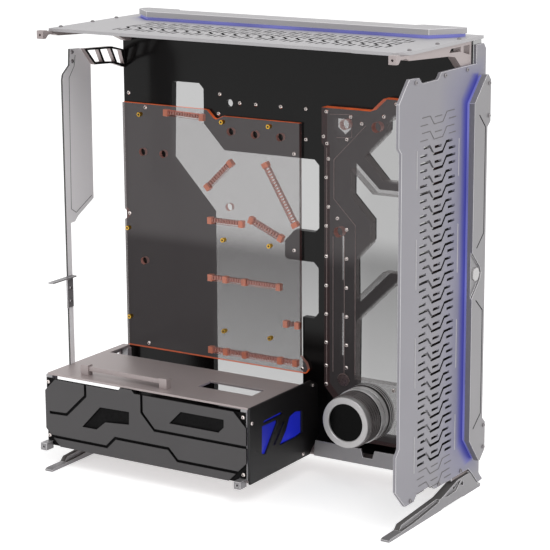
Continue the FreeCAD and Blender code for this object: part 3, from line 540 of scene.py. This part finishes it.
def foot_wall(middle, face):
    """Painted shade, dark, on the walls of the foot's recess, ledge and holes."""
    above_sole = middle.z > FLOOR + FOOT_SOLE and face.normal.z > DOWNWARD
    return RECESS_GREY if above_sole and abs(face.normal.x) < FACING else FOOT_SATIN


def strap_wall(middle, face):
    """Grey on the strap's edges and the walls of its windows."""
    return COVER_GREY if abs(face.normal.x) < FACING else NEAR_BLACK


def tray_edge(middle, face):
    """Painted glow on the tray's top and bottom edges, copper pink in combs and holes, painted shade
    elsewhere.
    """
    if abs(face.normal.y) > FACING:
        return TRAY_ACRYLIC
    if abs(face.normal.z) > FACING and not TRAY_GLOW_LOW <= middle.z <= TRAY_GLOW_TOP:
        return BRIGHT_EDGE
    if face.area < HOLE_FACET * MM * MM:
        return COMB_EDGE
    for (x0, z0), (x1, z1) in COMBS:
        run = Vector((x1 - x0, z1 - z0))
        way = Vector((middle.x - x0, middle.z - z0))
        along = way.dot(run) / run.length_squared
        within = -COMB_OVERRUN < along < 1 + COMB_OVERRUN
        if within and (way - run * along).length < COMB_WIDTH:
            return COMB_EDGE
    return DARK_EDGE


def distro_edge(middle, face):
    """Painted glow on the plate's top edge only, polished walls in its windows, and painted shade
    elsewhere.
    """
    if abs(face.normal.y) > FACING:
        return DISTRO_ACRYLIC
    if face.normal.z > LEANING and middle.z > DISTRO_GLOW_TOP:
        return BRIGHT_EDGE
    if face.area < HOLE_FACET * MM * MM:
        return COMB_EDGE
    inside = WINDOWS_REAR < middle.x < WINDOWS_FRONT and WINDOWS_LOW < middle.z < WINDOWS_TOP
    return GREY_EDGE if inside else DARK_EDGE


def dress_panels():
    """Every piece that keeps the form of its solid. Edges are broken by so many millimetres."""
    soften("front_panel", FRONT_SATIN, "satin_aluminium", edge=0.3, others=[SHADOW, SATIN],
           pick=front_wall, rim=CUT_EDGE_HIGHLIGHT, crisp=in_front_vents)
    soften("roof_panel", ROOF_SATIN, "satin_aluminium", edge=0.3, others=[SHADOW, SATIN], pick=roof_wall)
    soften("front_trim", TRIM_SATIN, "satin_aluminium", edge=0.5, others=[SHADOW, SHADED_SATIN],
           pick=trim_wall, rim=CUT_EDGE_HIGHLIGHT)
    soften("top_trim", SATIN, "satin_aluminium", edge=0.5, rim=CUT_EDGE_HIGHLIGHT)
    soften("rear_panel", REAR_LIT_SATIN, "satin_aluminium", edge=0.4, others=[CHARCOAL, SATIN], pick=rear_wall)
    for node in ("bottom_rail", "catch_bracket", "glass_tabs"):
        soften(node, TRIM_SATIN, "satin_aluminium", edge=0.4, rim=CUT_EDGE_HIGHLIGHT)
    for node in ("front_foot", "rear_foot"):
        soften(node, FOOT_SATIN, "satin_aluminium", edge=0.6, others=[RECESS_GREY], pick=foot_wall,
               rim=CUT_EDGE_HIGHLIGHT)
    soften("psu_corner_posts", SATIN, "satin_aluminium", edge=0.8)
    for node in ("top_hanger_front", "top_hanger_rear", "cover_bar", "cover_bar_blocks", "base_plate",
                 "psu_cover", "psu_rear_frame"):
        soften(node, COVER_GREY, "dark_aluminium", edge=0.4)
    soften("psu_near_panel", CHARCOAL, "dark_aluminium", edge=0.4, others=[SHADOW], pick=near_wall)
    soften("psu_near_liner", SHADOW, "gloss_black", edge=0.3)
    soften("psu_side_panel", NEAR_BLACK, "dark_aluminium", edge=0.4)
    put("mid_plate_finished", welded("mid_plate"), BLACK, "gloss_black", "mid_plate")
    soften("right_side_panel", GLASS, "tinted_glass", edge=0.5)
    soften("board_tray", TRAY_ACRYLIC, "smoked_acrylic", edge=0.3,
           others=[BRIGHT_EDGE, DARK_EDGE, COMB_EDGE], pick=tray_edge, clear=ACRYLIC_CLEAR)
    soften("distro_plate", DISTRO_ACRYLIC, "smoked_acrylic", edge=0.5,
           others=[BRIGHT_EDGE, DARK_EDGE, GREY_EDGE, COMB_EDGE], pick=distro_edge, clear=ACRYLIC_CLEAR)
    for node in ("front_light_guide", "top_light_guide"):
        soften(node, GUIDE, "light_guide", edge=0.3)
    soften("psu_light_panel", LAMP, "blue_lamp", edge=0.3)
    soften("board_standoffs", BRASS, "brass", edge=0.3)
    soften("port_plug", PLUG, "screw_steel", edge=0.6)
    soften("power_button", PUMP_METAL, "pump_metal", edge=0.6, body="button")
    soften("pump_impeller", CAP_BLACK, "pump_black", edge=0.2, body="impeller")


# Strap from the rear panel to the black plate, in (Y, Z): thinner and more open than its solid
STRAP = [(-77.5, 377), (-17, 373.5), (12.5, 366), (12.5, 342), (-17, 351), (-55.5, 353.5)]
STRAP_WINDOWS = [
    [(-70, 374), (-47, 372.6), (-38, 355.5), (-53.5, 356.5)],
    [(-42.5, 372.2), (-21, 371), (-10.5, 352.5), (-33, 355)],
    [(-16, 370.5), (3, 366.3), (10, 347), (-5.5, 351)],
]
STRAP_DEPTH = 6.0


def dress_strap():
    """The strap as a flat outline with three windows, drawn out to its depth."""
    work = bmesh.new()
    rims = []
    for loop in (STRAP, *STRAP_WINDOWS):
        points = [work.verts.new(at(REAR_FACE, y, z)) for y, z in loop]
        rims += [work.edges.new(pair) for pair in zip(points, points[1:] + points[:1])]
    back = bmesh.ops.triangle_fill(work, use_beauty=True, edges=rims)["geom"]
    faces = [item for item in back if isinstance(item, bmesh.types.BMFace)]
    front = bmesh.ops.extrude_face_region(work, geom=faces, use_keep_orig=True)["geom"]
    bmesh.ops.translate(work, vec=(STRAP_DEPTH * MM, 0, 0),
                        verts=[item for item in front if isinstance(item, bmesh.types.BMVert)])
    bmesh.ops.recalc_face_normals(work, faces=work.faces)
    mesh = bpy.data.meshes.new("strap")
    work.to_mesh(mesh)
    work.free()
    put("rear_strap_finished", mesh, NEAR_BLACK, "dark_aluminium", "rear_strap")
    paint(mesh, [NEAR_BLACK, COVER_GREY], strap_wall)


def islands(node):
    """Middle of each separate solid in a CAD node, in the frame's metres."""
    work = bmesh.new()
    mesh = welded(node)
    work.from_mesh(mesh)
    bpy.data.meshes.remove(mesh)
    left = set(work.verts)
    middles = []
    while left:
        group, edge = set(), [left.pop()]
        while edge:
            vert = edge.pop()
            group.add(vert)
            fresh = [e.other_vert(vert) for e in vert.link_edges if e.other_vert(vert) in left]
            left.difference_update(fresh)
            edge.extend(fresh)
        points = [vert.co for vert in group]
        low = Vector(map(min, zip(*points)))
        high = Vector(map(max, zip(*points)))
        middles.append((low + high) / 2)
    work.free()
    return middles


def new_tree(name, sizes):
    """A Geometry Nodes tree with a geometry input and named inputs for its sizes and finishes."""
    tree = bpy.data.node_groups.new(name, "GeometryNodeTree")
    tree.interface.new_socket("Geometry", in_out="INPUT", socket_type="NodeSocketGeometry")
    for label, kind in sizes.items():
        tree.interface.new_socket(label, in_out="INPUT", socket_type=kind)
    tree.interface.new_socket("Geometry", in_out="OUTPUT", socket_type="NodeSocketGeometry")
    return tree, add(tree, "NodeGroupInput").outputs


def finish_tree(tree, made, finish):
    """Close a tree with real geometry in one finish."""
    real = add(tree, "GeometryNodeRealizeInstances", {"Geometry": made})
    painted = add(tree, "GeometryNodeSetMaterial", {"Geometry": real.outputs[0], "Material": finish})
    add(tree, "NodeGroupOutput", {0: painted.outputs[0]})
    return tree


# Sides of a screw's head and drive, the crown's share of its radius, and the drive's thickness
HEAD_SIDES, DRIVE_SIDES, CROWN, DRIVE_DEPTH = 18, 6, 0.62, 0.1


def screw_head_tree():
    """Button heads with a drive in painted shadow on every point; Turn sets the way that they face."""
    tree, size = new_tree("screw_heads", {
        "Radius": "NodeSocketFloat", "Height": "NodeSocketFloat", "Drive": "NodeSocketFloat",
        "Turn": "NodeSocketVector", "Head": "NodeSocketMaterial", "Shadow": "NodeSocketMaterial"})
    half = add(tree, "ShaderNodeMath", {0: size["Height"], 1: 0.5}, operation="MULTIPLY").outputs[0]
    crown = add(tree, "ShaderNodeMath", {0: size["Radius"], 1: CROWN}, operation="MULTIPLY").outputs[0]
    lift = add(tree, "ShaderNodeCombineXYZ", {"Z": half}).outputs[0]
    foot = add(tree, "ShaderNodeMath", {0: half, 1: 0.5}, operation="MULTIPLY").outputs[0]
    foot_lift = add(tree, "ShaderNodeCombineXYZ", {"Z": foot}).outputs[0]
    barrel = add(tree, "GeometryNodeMeshCylinder",
                 {"Vertices": HEAD_SIDES, "Radius": size["Radius"], "Depth": half})
    low = add(tree, "GeometryNodeTransform",
              {"Geometry": barrel.outputs["Mesh"], "Translation": foot_lift})
    dome = add(tree, "GeometryNodeMeshCone", {
        "Vertices": HEAD_SIDES, "Radius Top": crown, "Radius Bottom": size["Radius"], "Depth": half})
    high = add(tree, "GeometryNodeTransform", {"Geometry": dome.outputs["Mesh"], "Translation": lift})
    steel = add(tree, "GeometryNodeJoinGeometry")
    for part in (low, high):
        tree.links.new(part.outputs[0], steel.inputs[0])
    painted = add(tree, "GeometryNodeSetMaterial",
                  {"Geometry": steel.outputs[0], "Material": size["Head"]})
    hexagon = add(tree, "GeometryNodeMeshCylinder",
                  {"Vertices": DRIVE_SIDES, "Radius": size["Drive"], "Depth": DRIVE_DEPTH * MM})
    top = add(tree, "ShaderNodeCombineXYZ", {"Z": size["Height"]}).outputs[0]
    drive = add(tree, "GeometryNodeTransform", {"Geometry": hexagon.outputs["Mesh"], "Translation": top})
    dark = add(tree, "GeometryNodeSetMaterial",
               {"Geometry": drive.outputs[0], "Material": size["Shadow"]})
    head = add(tree, "GeometryNodeJoinGeometry")
    for part in (painted, dark):
        tree.links.new(part.outputs[0], head.inputs[0])
    heads = add(tree, "GeometryNodeInstanceOnPoints", {
        "Points": size["Geometry"], "Instance": head.outputs[0], "Rotation": size["Turn"]})
    real = add(tree, "GeometryNodeRealizeInstances", {"Geometry": heads.outputs[0]})
    add(tree, "NodeGroupOutput", {0: real.outputs[0]})
    return tree


def comb_tree():
    """Teeth in a row along each edge of the given lines."""
    tree, size = new_tree("comb_teeth", {
        "Pitch": "NodeSocketFloat", "Width": "NodeSocketFloat", "Length": "NodeSocketFloat",
        "Depth": "NodeSocketFloat", "Finish": "NodeSocketMaterial"})
    path = add(tree, "GeometryNodeMeshToCurve", {0: size["Geometry"]})
    steps = add(tree, "GeometryNodeCurveToPoints",
                {"Curve": path.outputs[0], "Length": size["Pitch"]}, mode="LENGTH")
    along = add(tree, "FunctionNodeAlignRotationToVector",
                {"Vector": steps.outputs["Tangent"]}, axis="X", pivot_axis="Y")
    block = add(tree, "ShaderNodeCombineXYZ",
                {"X": size["Width"], "Y": size["Depth"], "Z": size["Length"]}).outputs[0]
    tooth = add(tree, "GeometryNodeMeshCube", {"Size": block})
    teeth = add(tree, "GeometryNodeInstanceOnPoints", {
        "Points": steps.outputs["Points"], "Instance": tooth.outputs["Mesh"],
        "Rotation": along.outputs["Rotation"]})
    return finish_tree(tree, teeth.outputs[0], size["Finish"])


def line_tree():
    """Thin square bars along the edges of the given paths."""
    tree, size = new_tree("fine_lines", {
        "Width": "NodeSocketFloat", "Height": "NodeSocketFloat", "Finish": "NodeSocketMaterial"})
    path = add(tree, "GeometryNodeMeshToCurve", {0: size["Geometry"]})
    section = add(tree, "GeometryNodeCurvePrimitiveQuadrilateral",
                  {"Width": size["Width"], "Height": size["Height"]})
    line = add(tree, "GeometryNodeCurveToMesh", {
        "Curve": path.outputs[0], "Profile Curve": section.outputs[0], "Fill Caps": True})
    return finish_tree(tree, line.outputs[0], size["Finish"])


def grow(tree, points, edges, sizes):
    """Run a tree on points and lines, and return what it makes as a plain mesh."""
    seed = bpy.data.meshes.new("seed")
    seed.from_pydata([tuple(point) for point in points], edges, [])
    carrier = bpy.data.objects.new("seed", seed)
    bpy.context.collection.objects.link(carrier)
    modifier = carrier.modifiers.new("tree", "NODES")
    modifier.node_group = tree
    for item in tree.interface.items_tree:
        if item.in_out == "INPUT" and item.name in sizes:
            modifier[item.identifier] = sizes[item.name]
    ready = carrier.evaluated_get(bpy.context.evaluated_depsgraph_get())
    mesh = bpy.data.meshes.new_from_object(ready)
    bpy.data.objects.remove(carrier)
    return mesh


# Screws, by the way that their heads face, and the turns that bring a head there
SCREWS = {
    "plate_screws": "-y", "tray_screws": "-y", "distro_screws": "-y", "psu_screws": "-y",
    "psu_side_screws": "+x", "front_screws": "+x", "trim_screws": "+x", "rear_screws": "+x",
    "catch_screws": "+x", "roof_screws": "+z",
}
OUTER_SCREWS = ("front_screws", "trim_screws", "rear_screws", "catch_screws", "roof_screws")
TURNS = {"-y": (math.pi / 2, 0, 0), "+x": (0, math.pi / 2, 0), "+z": (0, 0, 0)}
SCREW_HEAD = {"Radius": 2.6 * MM, "Height": 1.9 * MM, "Drive": 1.2 * MM}
# A stand-off's bore is a head sunk into its tip, so that little more than its drive, in painted shadow,
# shows
BORE_HEAD = {"Radius": 1.9 * MM, "Height": 1.85 * MM, "Drive": 1.6 * MM}
BORE_SEAT = 1.8


def dress_screws():
    """Round heads on the middle of every screw's solid, and bores in painted shadow in the stand-offs."""
    tree = screw_head_tree()
    for node, way in SCREWS.items():
        axis = "xyz".index(way[1])
        low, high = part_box(node)
        spots = islands(node)
        for spot in spots:
            spot[axis] = (high if way[0] == "-" else low)[axis]
        steel = DULL_STEEL if node in OUTER_SCREWS else STEEL
        mesh = grow(tree, spots, [], {**SCREW_HEAD, "Turn": TURNS[way], "Head": steel, "Shadow": SOCKET})
        put(node + "_finished", mesh, None, "screw_steel", node)
    bores = islands("board_standoffs")
    for bore in bores:
        bore.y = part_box("board_standoffs")[0][1] + BORE_SEAT * MM
    mesh = grow(tree, bores, [], {**BORE_HEAD, "Turn": TURNS["-y"], "Head": BRASS, "Shadow": SOCKET})
    put("standoff_bores", mesh, None, "brass")


# Teeth: how far they stay from the slot's ends, their length, spacing and width, and how much thinner
# than the tray they are
COMB_END, TOOTH, TOOTH_PITCH, TOOTH_WIDTH, TOOTH_INSET = 5.0, 5.8, 4.0, 2.3, 0.4
# Blocks: width, what they have over the slot's width and the tray's thickness, and the places of the
# first from the rear end and the last from the front end
BLOCK_WIDTH, BLOCK_OVER, BLOCK_PROUD, BLOCK_FIRST, BLOCK_LAST = 6.5, 1.5, 1.6, 1.0, 2.0
# A block sits alone on a line that is shorter than the spacing of teeth
BLOCK_LINE = 1.0
# Clips that divide combs over this length, from the rear end of the slot
LONG_COMB, CLIPS = 100.0, (25.0, 55.0, 110.4)


def dress_combs():
    """Teeth across each slot, hung from its upper edge, and thicker blocks at its ends and clips."""
    tree = comb_tree()
    middle = (TRAY_FRONT + TRAY_BACK) / 2
    teeth, blocks = [], []
    for (x0, z0), (x1, z1) in COMBS:
        run = Vector((x1 - x0, 0, z1 - z0))
        along = run.normalized()
        up = Vector((-along.z, 0, along.x)) * (COMB_WIDTH - TOOTH) / 2
        start = at(x0, middle, z0)
        teeth += [start + (along * shift + up) * MM for shift in (COMB_END, run.length - COMB_END)]
        clips = [clip for clip in CLIPS if LONG_COMB < run.length > clip + 2 * COMB_END]
        for shift in (BLOCK_FIRST, *clips, run.length - BLOCK_LAST):
            blocks += [start + along * shift * MM, start + along * (shift + BLOCK_LINE) * MM]
    depth = TRAY_BACK - TRAY_FRONT
    for name, points, width, length, thick, finish in (
            ("comb_teeth", teeth, TOOTH_WIDTH, TOOTH, depth - TOOTH_INSET, COMB_EDGE),
            ("comb_ends", blocks, BLOCK_WIDTH, COMB_WIDTH + BLOCK_OVER, depth + BLOCK_PROUD, COMB_BLOCK)):
        edges = [(i, i + 1) for i in range(0, len(points), 2)]
        mesh = grow(tree, points, edges, {
            "Pitch": TOOTH_PITCH * MM, "Width": width * MM, "Length": length * MM, "Depth": thick * MM,
            "Finish": finish})
        put(name, mesh, None, "smoked_acrylic")


# Fine lines, as open paths. On the front panel, beyond the vents' ends, waves like the slots and
# bars between them, each from the vents' middle line and the wave's level: (Y, Z).
WAVE_REACH, WAVE_KNEE, WAVE_FLAT, WAVE_DROP = 40.5, 21.0, 11.0, 10.7
WAVE = [(-WAVE_REACH, 0), (-WAVE_KNEE, 0), (-WAVE_FLAT, -WAVE_DROP), (WAVE_FLAT, -WAVE_DROP),
        (WAVE_KNEE, 0), (WAVE_REACH, 0)]
WAVE_LEVELS = (332, 314, -100, -118)
BAR_LONG = 17.5
BARS = [(-44.5, -9.0), (27.0, -9.0), (-BAR_LONG / 2, -2.5)]
# Seams on both sides of the vents: top and bottom of each, and the two places along Y.
SEAMS = ((295, 249), (190, 129), (70, 8.5), (-52, -98))
SEAM_NEAR, SEAM_FAR = -131.0, -24.5
# Along the grooves of the front trim, above and below its button: (Y, Z).
BUTTON_NEAR, BUTTON_FAR = 33.0, 49.0
TRIM_GROOVES = [
    [(8, 319.5), (24.5, 303), (24.5, BUTTON_Z + BUTTON_FAR), (6, BUTTON_Z + BUTTON_NEAR)],
    [(6, BUTTON_Z - BUTTON_NEAR), (24.5, BUTTON_Z - BUTTON_FAR), (24.5, -61), (4, -77)],
]
# On the rear panel's inner face: (Y, Z).
REAR_LINE = [(-89.2, 369.5), (-92, 355.4), (-103.3, 341.1), (-106.4, 168.2), (-96, 162), (-62, 179)]
# On the distribution plate, edges of its milled channels: (X, Z).
CHANNELS = [
    [(373.8, 295.6), (327.4, 248.5), (327.4, 198), (359, 166.5), (359, -30)],
    [(320.8, 306), (353.2, 308), (353.2, 279), (331, 277)],
    [(326.3, 149), (326.3, -30)], [(343, 150), (343, -30)], [(316.9, 263), (316.9, -50)],
]


def draw_lines(name, tree, paths, finish, slot, width):
    """One piece from all of the paths, each a list of places."""
    points, edges = [], []
    for path in paths:
        edges += [(len(points) + i, len(points) + i + 1) for i in range(len(path) - 1)]
        points += path
    mesh = grow(tree, points, edges, {"Width": width * MM, "Height": width * MM, "Finish": finish})
    put(name, mesh, None, slot)


def dress_lines():
    """Engraved and polished lines, and a painted shadow in the trim's groove, half sunk in the faces that
    carry them.
    """
    tree = line_tree()
    bars = [[(start, drop), (start + BAR_LONG, drop)] for start, drop in BARS]
    waves = [[at(FRONT_FACE, VENT_FRONT_MID + y, level + z) for y, z in shape]
             for level in WAVE_LEVELS for shape in (WAVE, *bars)]
    draw_lines("front_engraving", tree, waves, LINE_DARK, "satin_aluminium", width=0.8)
    rows = [[at(FRONT_FACE, y, top), at(FRONT_FACE, y, bottom)]
            for y in (SEAM_NEAR, SEAM_FAR) for top, bottom in SEAMS]
    draw_lines("front_seams", tree, rows, LINE_LIGHT, "satin_aluminium", width=0.9)
    # A line of painted shadow in the trim's groove
    grooves = [[at(TRIM_FACE - TRIM_GROOVE_DEPTH, y, z) for y, z in path] for path in TRIM_GROOVES]
    draw_lines("trim_groove_shadow", tree, grooves, SHADOW, "satin_aluminium", width=1.5)
    outline = [[at(REAR_FACE, y, z) for y, z in REAR_LINE]]
    draw_lines("rear_engraving", tree, outline, LINE_DARK, "satin_aluminium", width=0.7)
    channels = [[at(x, DISTRO_FACE, z) for x, z in path] for path in CHANNELS]
    draw_lines("distro_channels", tree, channels, LINE_ACRYLIC, "smoked_acrylic", width=0.6)


# Pump, in radii and in heights above the distribution plate
SHAFT_RADIUS, SHAFT_DEPTH = 3.0, 7.0
COLLAR_RADIUS, COLLAR_HEIGHT, COLLAR_GROOVES = 37.0, 12.0, (4, 8)
HOUSING_RADIUS, HOUSING_HEIGHT, HOUSING_GROOVES = 34.5, 54.0, (34, 39, 44, 49)
GROOVE_DEPTH, GROOVE_WIDTH = 0.8, 1.6
# Faces of the collar's grooves have their middles between these radii
COLLAR_GROOVE_IN, COLLAR_GROOVE_OUT = 36.0, 36.7
BANDS = {"pump_band_rear": (14.5, 21.5), "pump_band_front": (23.5, 31.5)}
BAND_IN, BAND_OUT = 34.4, 35.8
RING_IN, RING_OUT, RING_HEIGHT = 24.5, 33.0, 63.0
CAP_RADIUS, CAP_HEIGHT = 24.3, 60.5
# Edges broken on the housing and the cap, the bands, and the ring
HOUSING_BREAK, BAND_BREAK, RING_BREAK = 0.5, 0.4, 0.8
TURNED_STEPS = 72


def turned(profile):
    """A closed skin turned about the pump's axis from (radius, height above the plate) points."""
    work = bmesh.new()
    foot = at(PUMP_X, DISTRO_FACE, PUMP_Z)
    verts = [work.verts.new(foot + Vector((radius, -height, 0)) * MM) for radius, height in profile]
    edges = [work.edges.new(pair) for pair in zip(verts, verts[1:])]
    bmesh.ops.spin(work, geom=verts + edges, cent=foot, axis=(0, 1, 0), dvec=(0, 0, 0),
                   angle=math.tau, steps=TURNED_STEPS)
    bmesh.ops.remove_doubles(work, verts=work.verts, dist=TURNED_WELD * MM)
    bmesh.ops.recalc_face_normals(work, faces=work.faces)
    mesh = bpy.data.meshes.new("turned")
    work.to_mesh(mesh)
    work.free()
    mesh.shade_smooth()
    mesh.set_sharp_from_angle(angle=TURNED_SHARP_ANGLE)
    return mesh


def groove(radius, height):
    """Profile points of one round groove."""
    return [(radius, height), (radius - GROOVE_DEPTH, height + GROOVE_WIDTH / 4),
            (radius - GROOVE_DEPTH, height + GROOVE_WIDTH * 3 / 4), (radius, height + GROOVE_WIDTH)]


def pump_wall(middle, face):
    """Painted shade, black, beside the bands and in the collar's grooves; bright on the collar."""
    height = DISTRO_FACE - middle.y
    out = math.hypot(middle.x - PUMP_X, middle.z - PUMP_Z)
    beside_bands = COLLAR_HEIGHT < height < HOUSING_GROOVES[0]
    in_groove = COLLAR_GROOVE_IN < out < COLLAR_GROOVE_OUT and height < COLLAR_HEIGHT
    if beside_bands or in_groove:
        return SHADOW
    return BAND_METAL if height < COLLAR_HEIGHT else PUMP_BLACK


def dress_pump():
    """Ribbed motor housing with bright bands, a bright nose ring and a plain polished cap."""
    body = [(0, -SHAFT_DEPTH), (SHAFT_RADIUS, -SHAFT_DEPTH), (SHAFT_RADIUS, 0), (COLLAR_RADIUS, 0)]
    for height in COLLAR_GROOVES:
        body += groove(COLLAR_RADIUS, height)
    body += [(COLLAR_RADIUS, COLLAR_HEIGHT), (HOUSING_RADIUS, COLLAR_HEIGHT)]
    for height in HOUSING_GROOVES:
        body += groove(HOUSING_RADIUS, height)
    body += [(HOUSING_RADIUS, HOUSING_HEIGHT - HOUSING_BREAK),
             (HOUSING_RADIUS - HOUSING_BREAK, HOUSING_HEIGHT), (0, HOUSING_HEIGHT)]
    housing = turned(body)
    put("pump_body_finished", housing, PUMP_BLACK, "pump_black", "pump_body")
    paint(housing, [PUMP_BLACK, BAND_METAL, SHADOW], pump_wall)
    for name, (low, high) in BANDS.items():
        band = [(BAND_IN, low), (BAND_OUT - BAND_BREAK, low), (BAND_OUT, low + BAND_BREAK),
                (BAND_OUT, high - BAND_BREAK), (BAND_OUT - BAND_BREAK, high), (BAND_IN, high)]
        put(name, turned(band), BAND_METAL, "pump_metal")
    ring = [(RING_IN, HOUSING_HEIGHT), (RING_OUT, HOUSING_HEIGHT), (RING_OUT, RING_HEIGHT - RING_BREAK),
            (RING_OUT - RING_BREAK, RING_HEIGHT), (RING_IN + RING_BREAK, RING_HEIGHT),
            (RING_IN, RING_HEIGHT - RING_BREAK), (RING_IN, HOUSING_HEIGHT)]
    put("pump_ring_finished", turned(ring), PUMP_METAL, "pump_metal", "pump_ring")
    cap = [(0, HOUSING_HEIGHT), (CAP_RADIUS, HOUSING_HEIGHT), (CAP_RADIUS, CAP_HEIGHT - HOUSING_BREAK),
           (CAP_RADIUS - HOUSING_BREAK, CAP_HEIGHT), (0, CAP_HEIGHT)]
    put("pump_cap_finished", turned(cap), CAP_BLACK, "cap_black", "pump_cap")


# Camera of the photograph, solved on the board's nine stand-offs
AZIMUTH, ELEVATION, ROLL = math.radians(32.114), math.radians(13.300), math.radians(-0.3274)
CAMERA_PLACE = (1634.169, -2225.769, 708.542)
FOCAL_PIXELS, FRAME_PIXELS, SENSOR = 2068.67, 550, 36.0
# Studio, in metres and watts. The floor glows for rays that see it straight, and the dome is dimmer
# for the others.
FLOOR_REACH, FLOOR_PATCH, FLOOR_GLOW, DOME_LIGHT = 8.0, 0.25, 0.5, 0.72
LAMP_SIZE, LAMP_POWER = 2.0, 30
LAMP_PLACE, LAMP_AIM = (1.6, -0.9, 2.6), (0, 0, 0.3)


def set_camera():
    """The camera at the photograph's place and angle."""
    back = Vector((math.sin(AZIMUTH) * math.cos(ELEVATION), -math.cos(AZIMUTH) * math.cos(ELEVATION),
                   math.sin(ELEVATION)))
    right = (-back).cross(Vector((0, 0, 1))).normalized()
    up = right.cross(-back)
    side = right * math.cos(ROLL) + up * math.sin(ROLL)
    top = up * math.cos(ROLL) - right * math.sin(ROLL)
    camera = bpy.data.objects.new("camera", bpy.data.cameras.new("camera"))
    camera.data.sensor_width = SENSOR
    camera.data.lens = FOCAL_PIXELS / FRAME_PIXELS * SENSOR
    turn = Matrix((side, top, back)).transposed().to_4x4()
    camera.matrix_world = Matrix.Translation(at(*CAMERA_PLACE)) @ turn
    bpy.context.collection.objects.link(camera)
    bpy.context.scene.camera = camera


def seen_straight(tree):
    """One for a ray from the camera, or off metal or through glass, and nought for a light bounce."""
    ray = add(tree, "ShaderNodeLightPath").outputs
    seen = add(tree, "ShaderNodeMath",
               {0: ray["Is Camera Ray"], 1: ray["Is Glossy Ray"]}, operation="MAXIMUM")
    return add(tree, "ShaderNodeMath", {0: seen.outputs[0], 1: ray["Is Transmission Ray"]},
               operation="MAXIMUM").outputs[0]


def set_stage():
    """White floor and a white dome that camera, metal and glass see alike, with one soft lamp."""
    material, tree, place = start_material("white_studio_floor")
    dust = add(tree, "ShaderNodeTexNoise", {"Vector": place, "Scale": 1 / FLOOR_PATCH})
    even = add(tree, "ShaderNodeMapRange", {"Value": dust.outputs[0], "To Min": 0.55, "To Max": 0.6})
    lit = add(tree, "ShaderNodeMapRange", {"Value": seen_straight(tree), "To Max": FLOOR_GLOW})
    finish_material(tree, {
        "Base Color": linear("#F4F4F4"), "Roughness": even.outputs[0], "Specular IOR Level": 0.0,
        "Emission Color": linear("#FFFFFF"), "Emission Strength": lit.outputs[0]})
    mesh = bpy.data.meshes.new("floor")
    signs = [(-1, -1), (1, -1), (1, 1), (-1, 1)]
    mesh.from_pydata([(x * FLOOR_REACH, y * FLOOR_REACH, 0) for x, y in signs], [], [(0, 1, 2, 3)])
    mesh.materials.append(material)
    floor = bpy.data.objects.new("floor", mesh)
    bpy.context.collection.objects.link(floor)

    world = bpy.data.worlds.new("studio")
    bpy.context.scene.world = world
    world.use_nodes = True
    tree = world.node_tree
    tree.nodes.clear()
    level = add(tree, "ShaderNodeMapRange",
                {"Value": seen_straight(tree), "To Min": DOME_LIGHT, "To Max": 1.0})
    dome = add(tree, "ShaderNodeBackground", {"Color": linear("#FFFFFF"), "Strength": level.outputs[0]})
    add(tree, "ShaderNodeOutputWorld", {"Surface": dome.outputs[0]})

    lamp = bpy.data.objects.new("soft_lamp", bpy.data.lights.new("soft_lamp", "AREA"))
    lamp.data.size = LAMP_SIZE
    lamp.data.energy = LAMP_POWER
    lamp.location = LAMP_PLACE
    lamp.rotation_euler = (Vector(LAMP_AIM) - lamp.location).to_track_quat("-Z", "Y").to_euler()
    bpy.context.collection.objects.link(lamp)
    bpy.context.scene.view_settings.view_transform = "Standard"


dress_panels()
dress_strap()
dress_screws()
dress_combs()
dress_lines()
dress_pump()
set_stage()
set_camera()
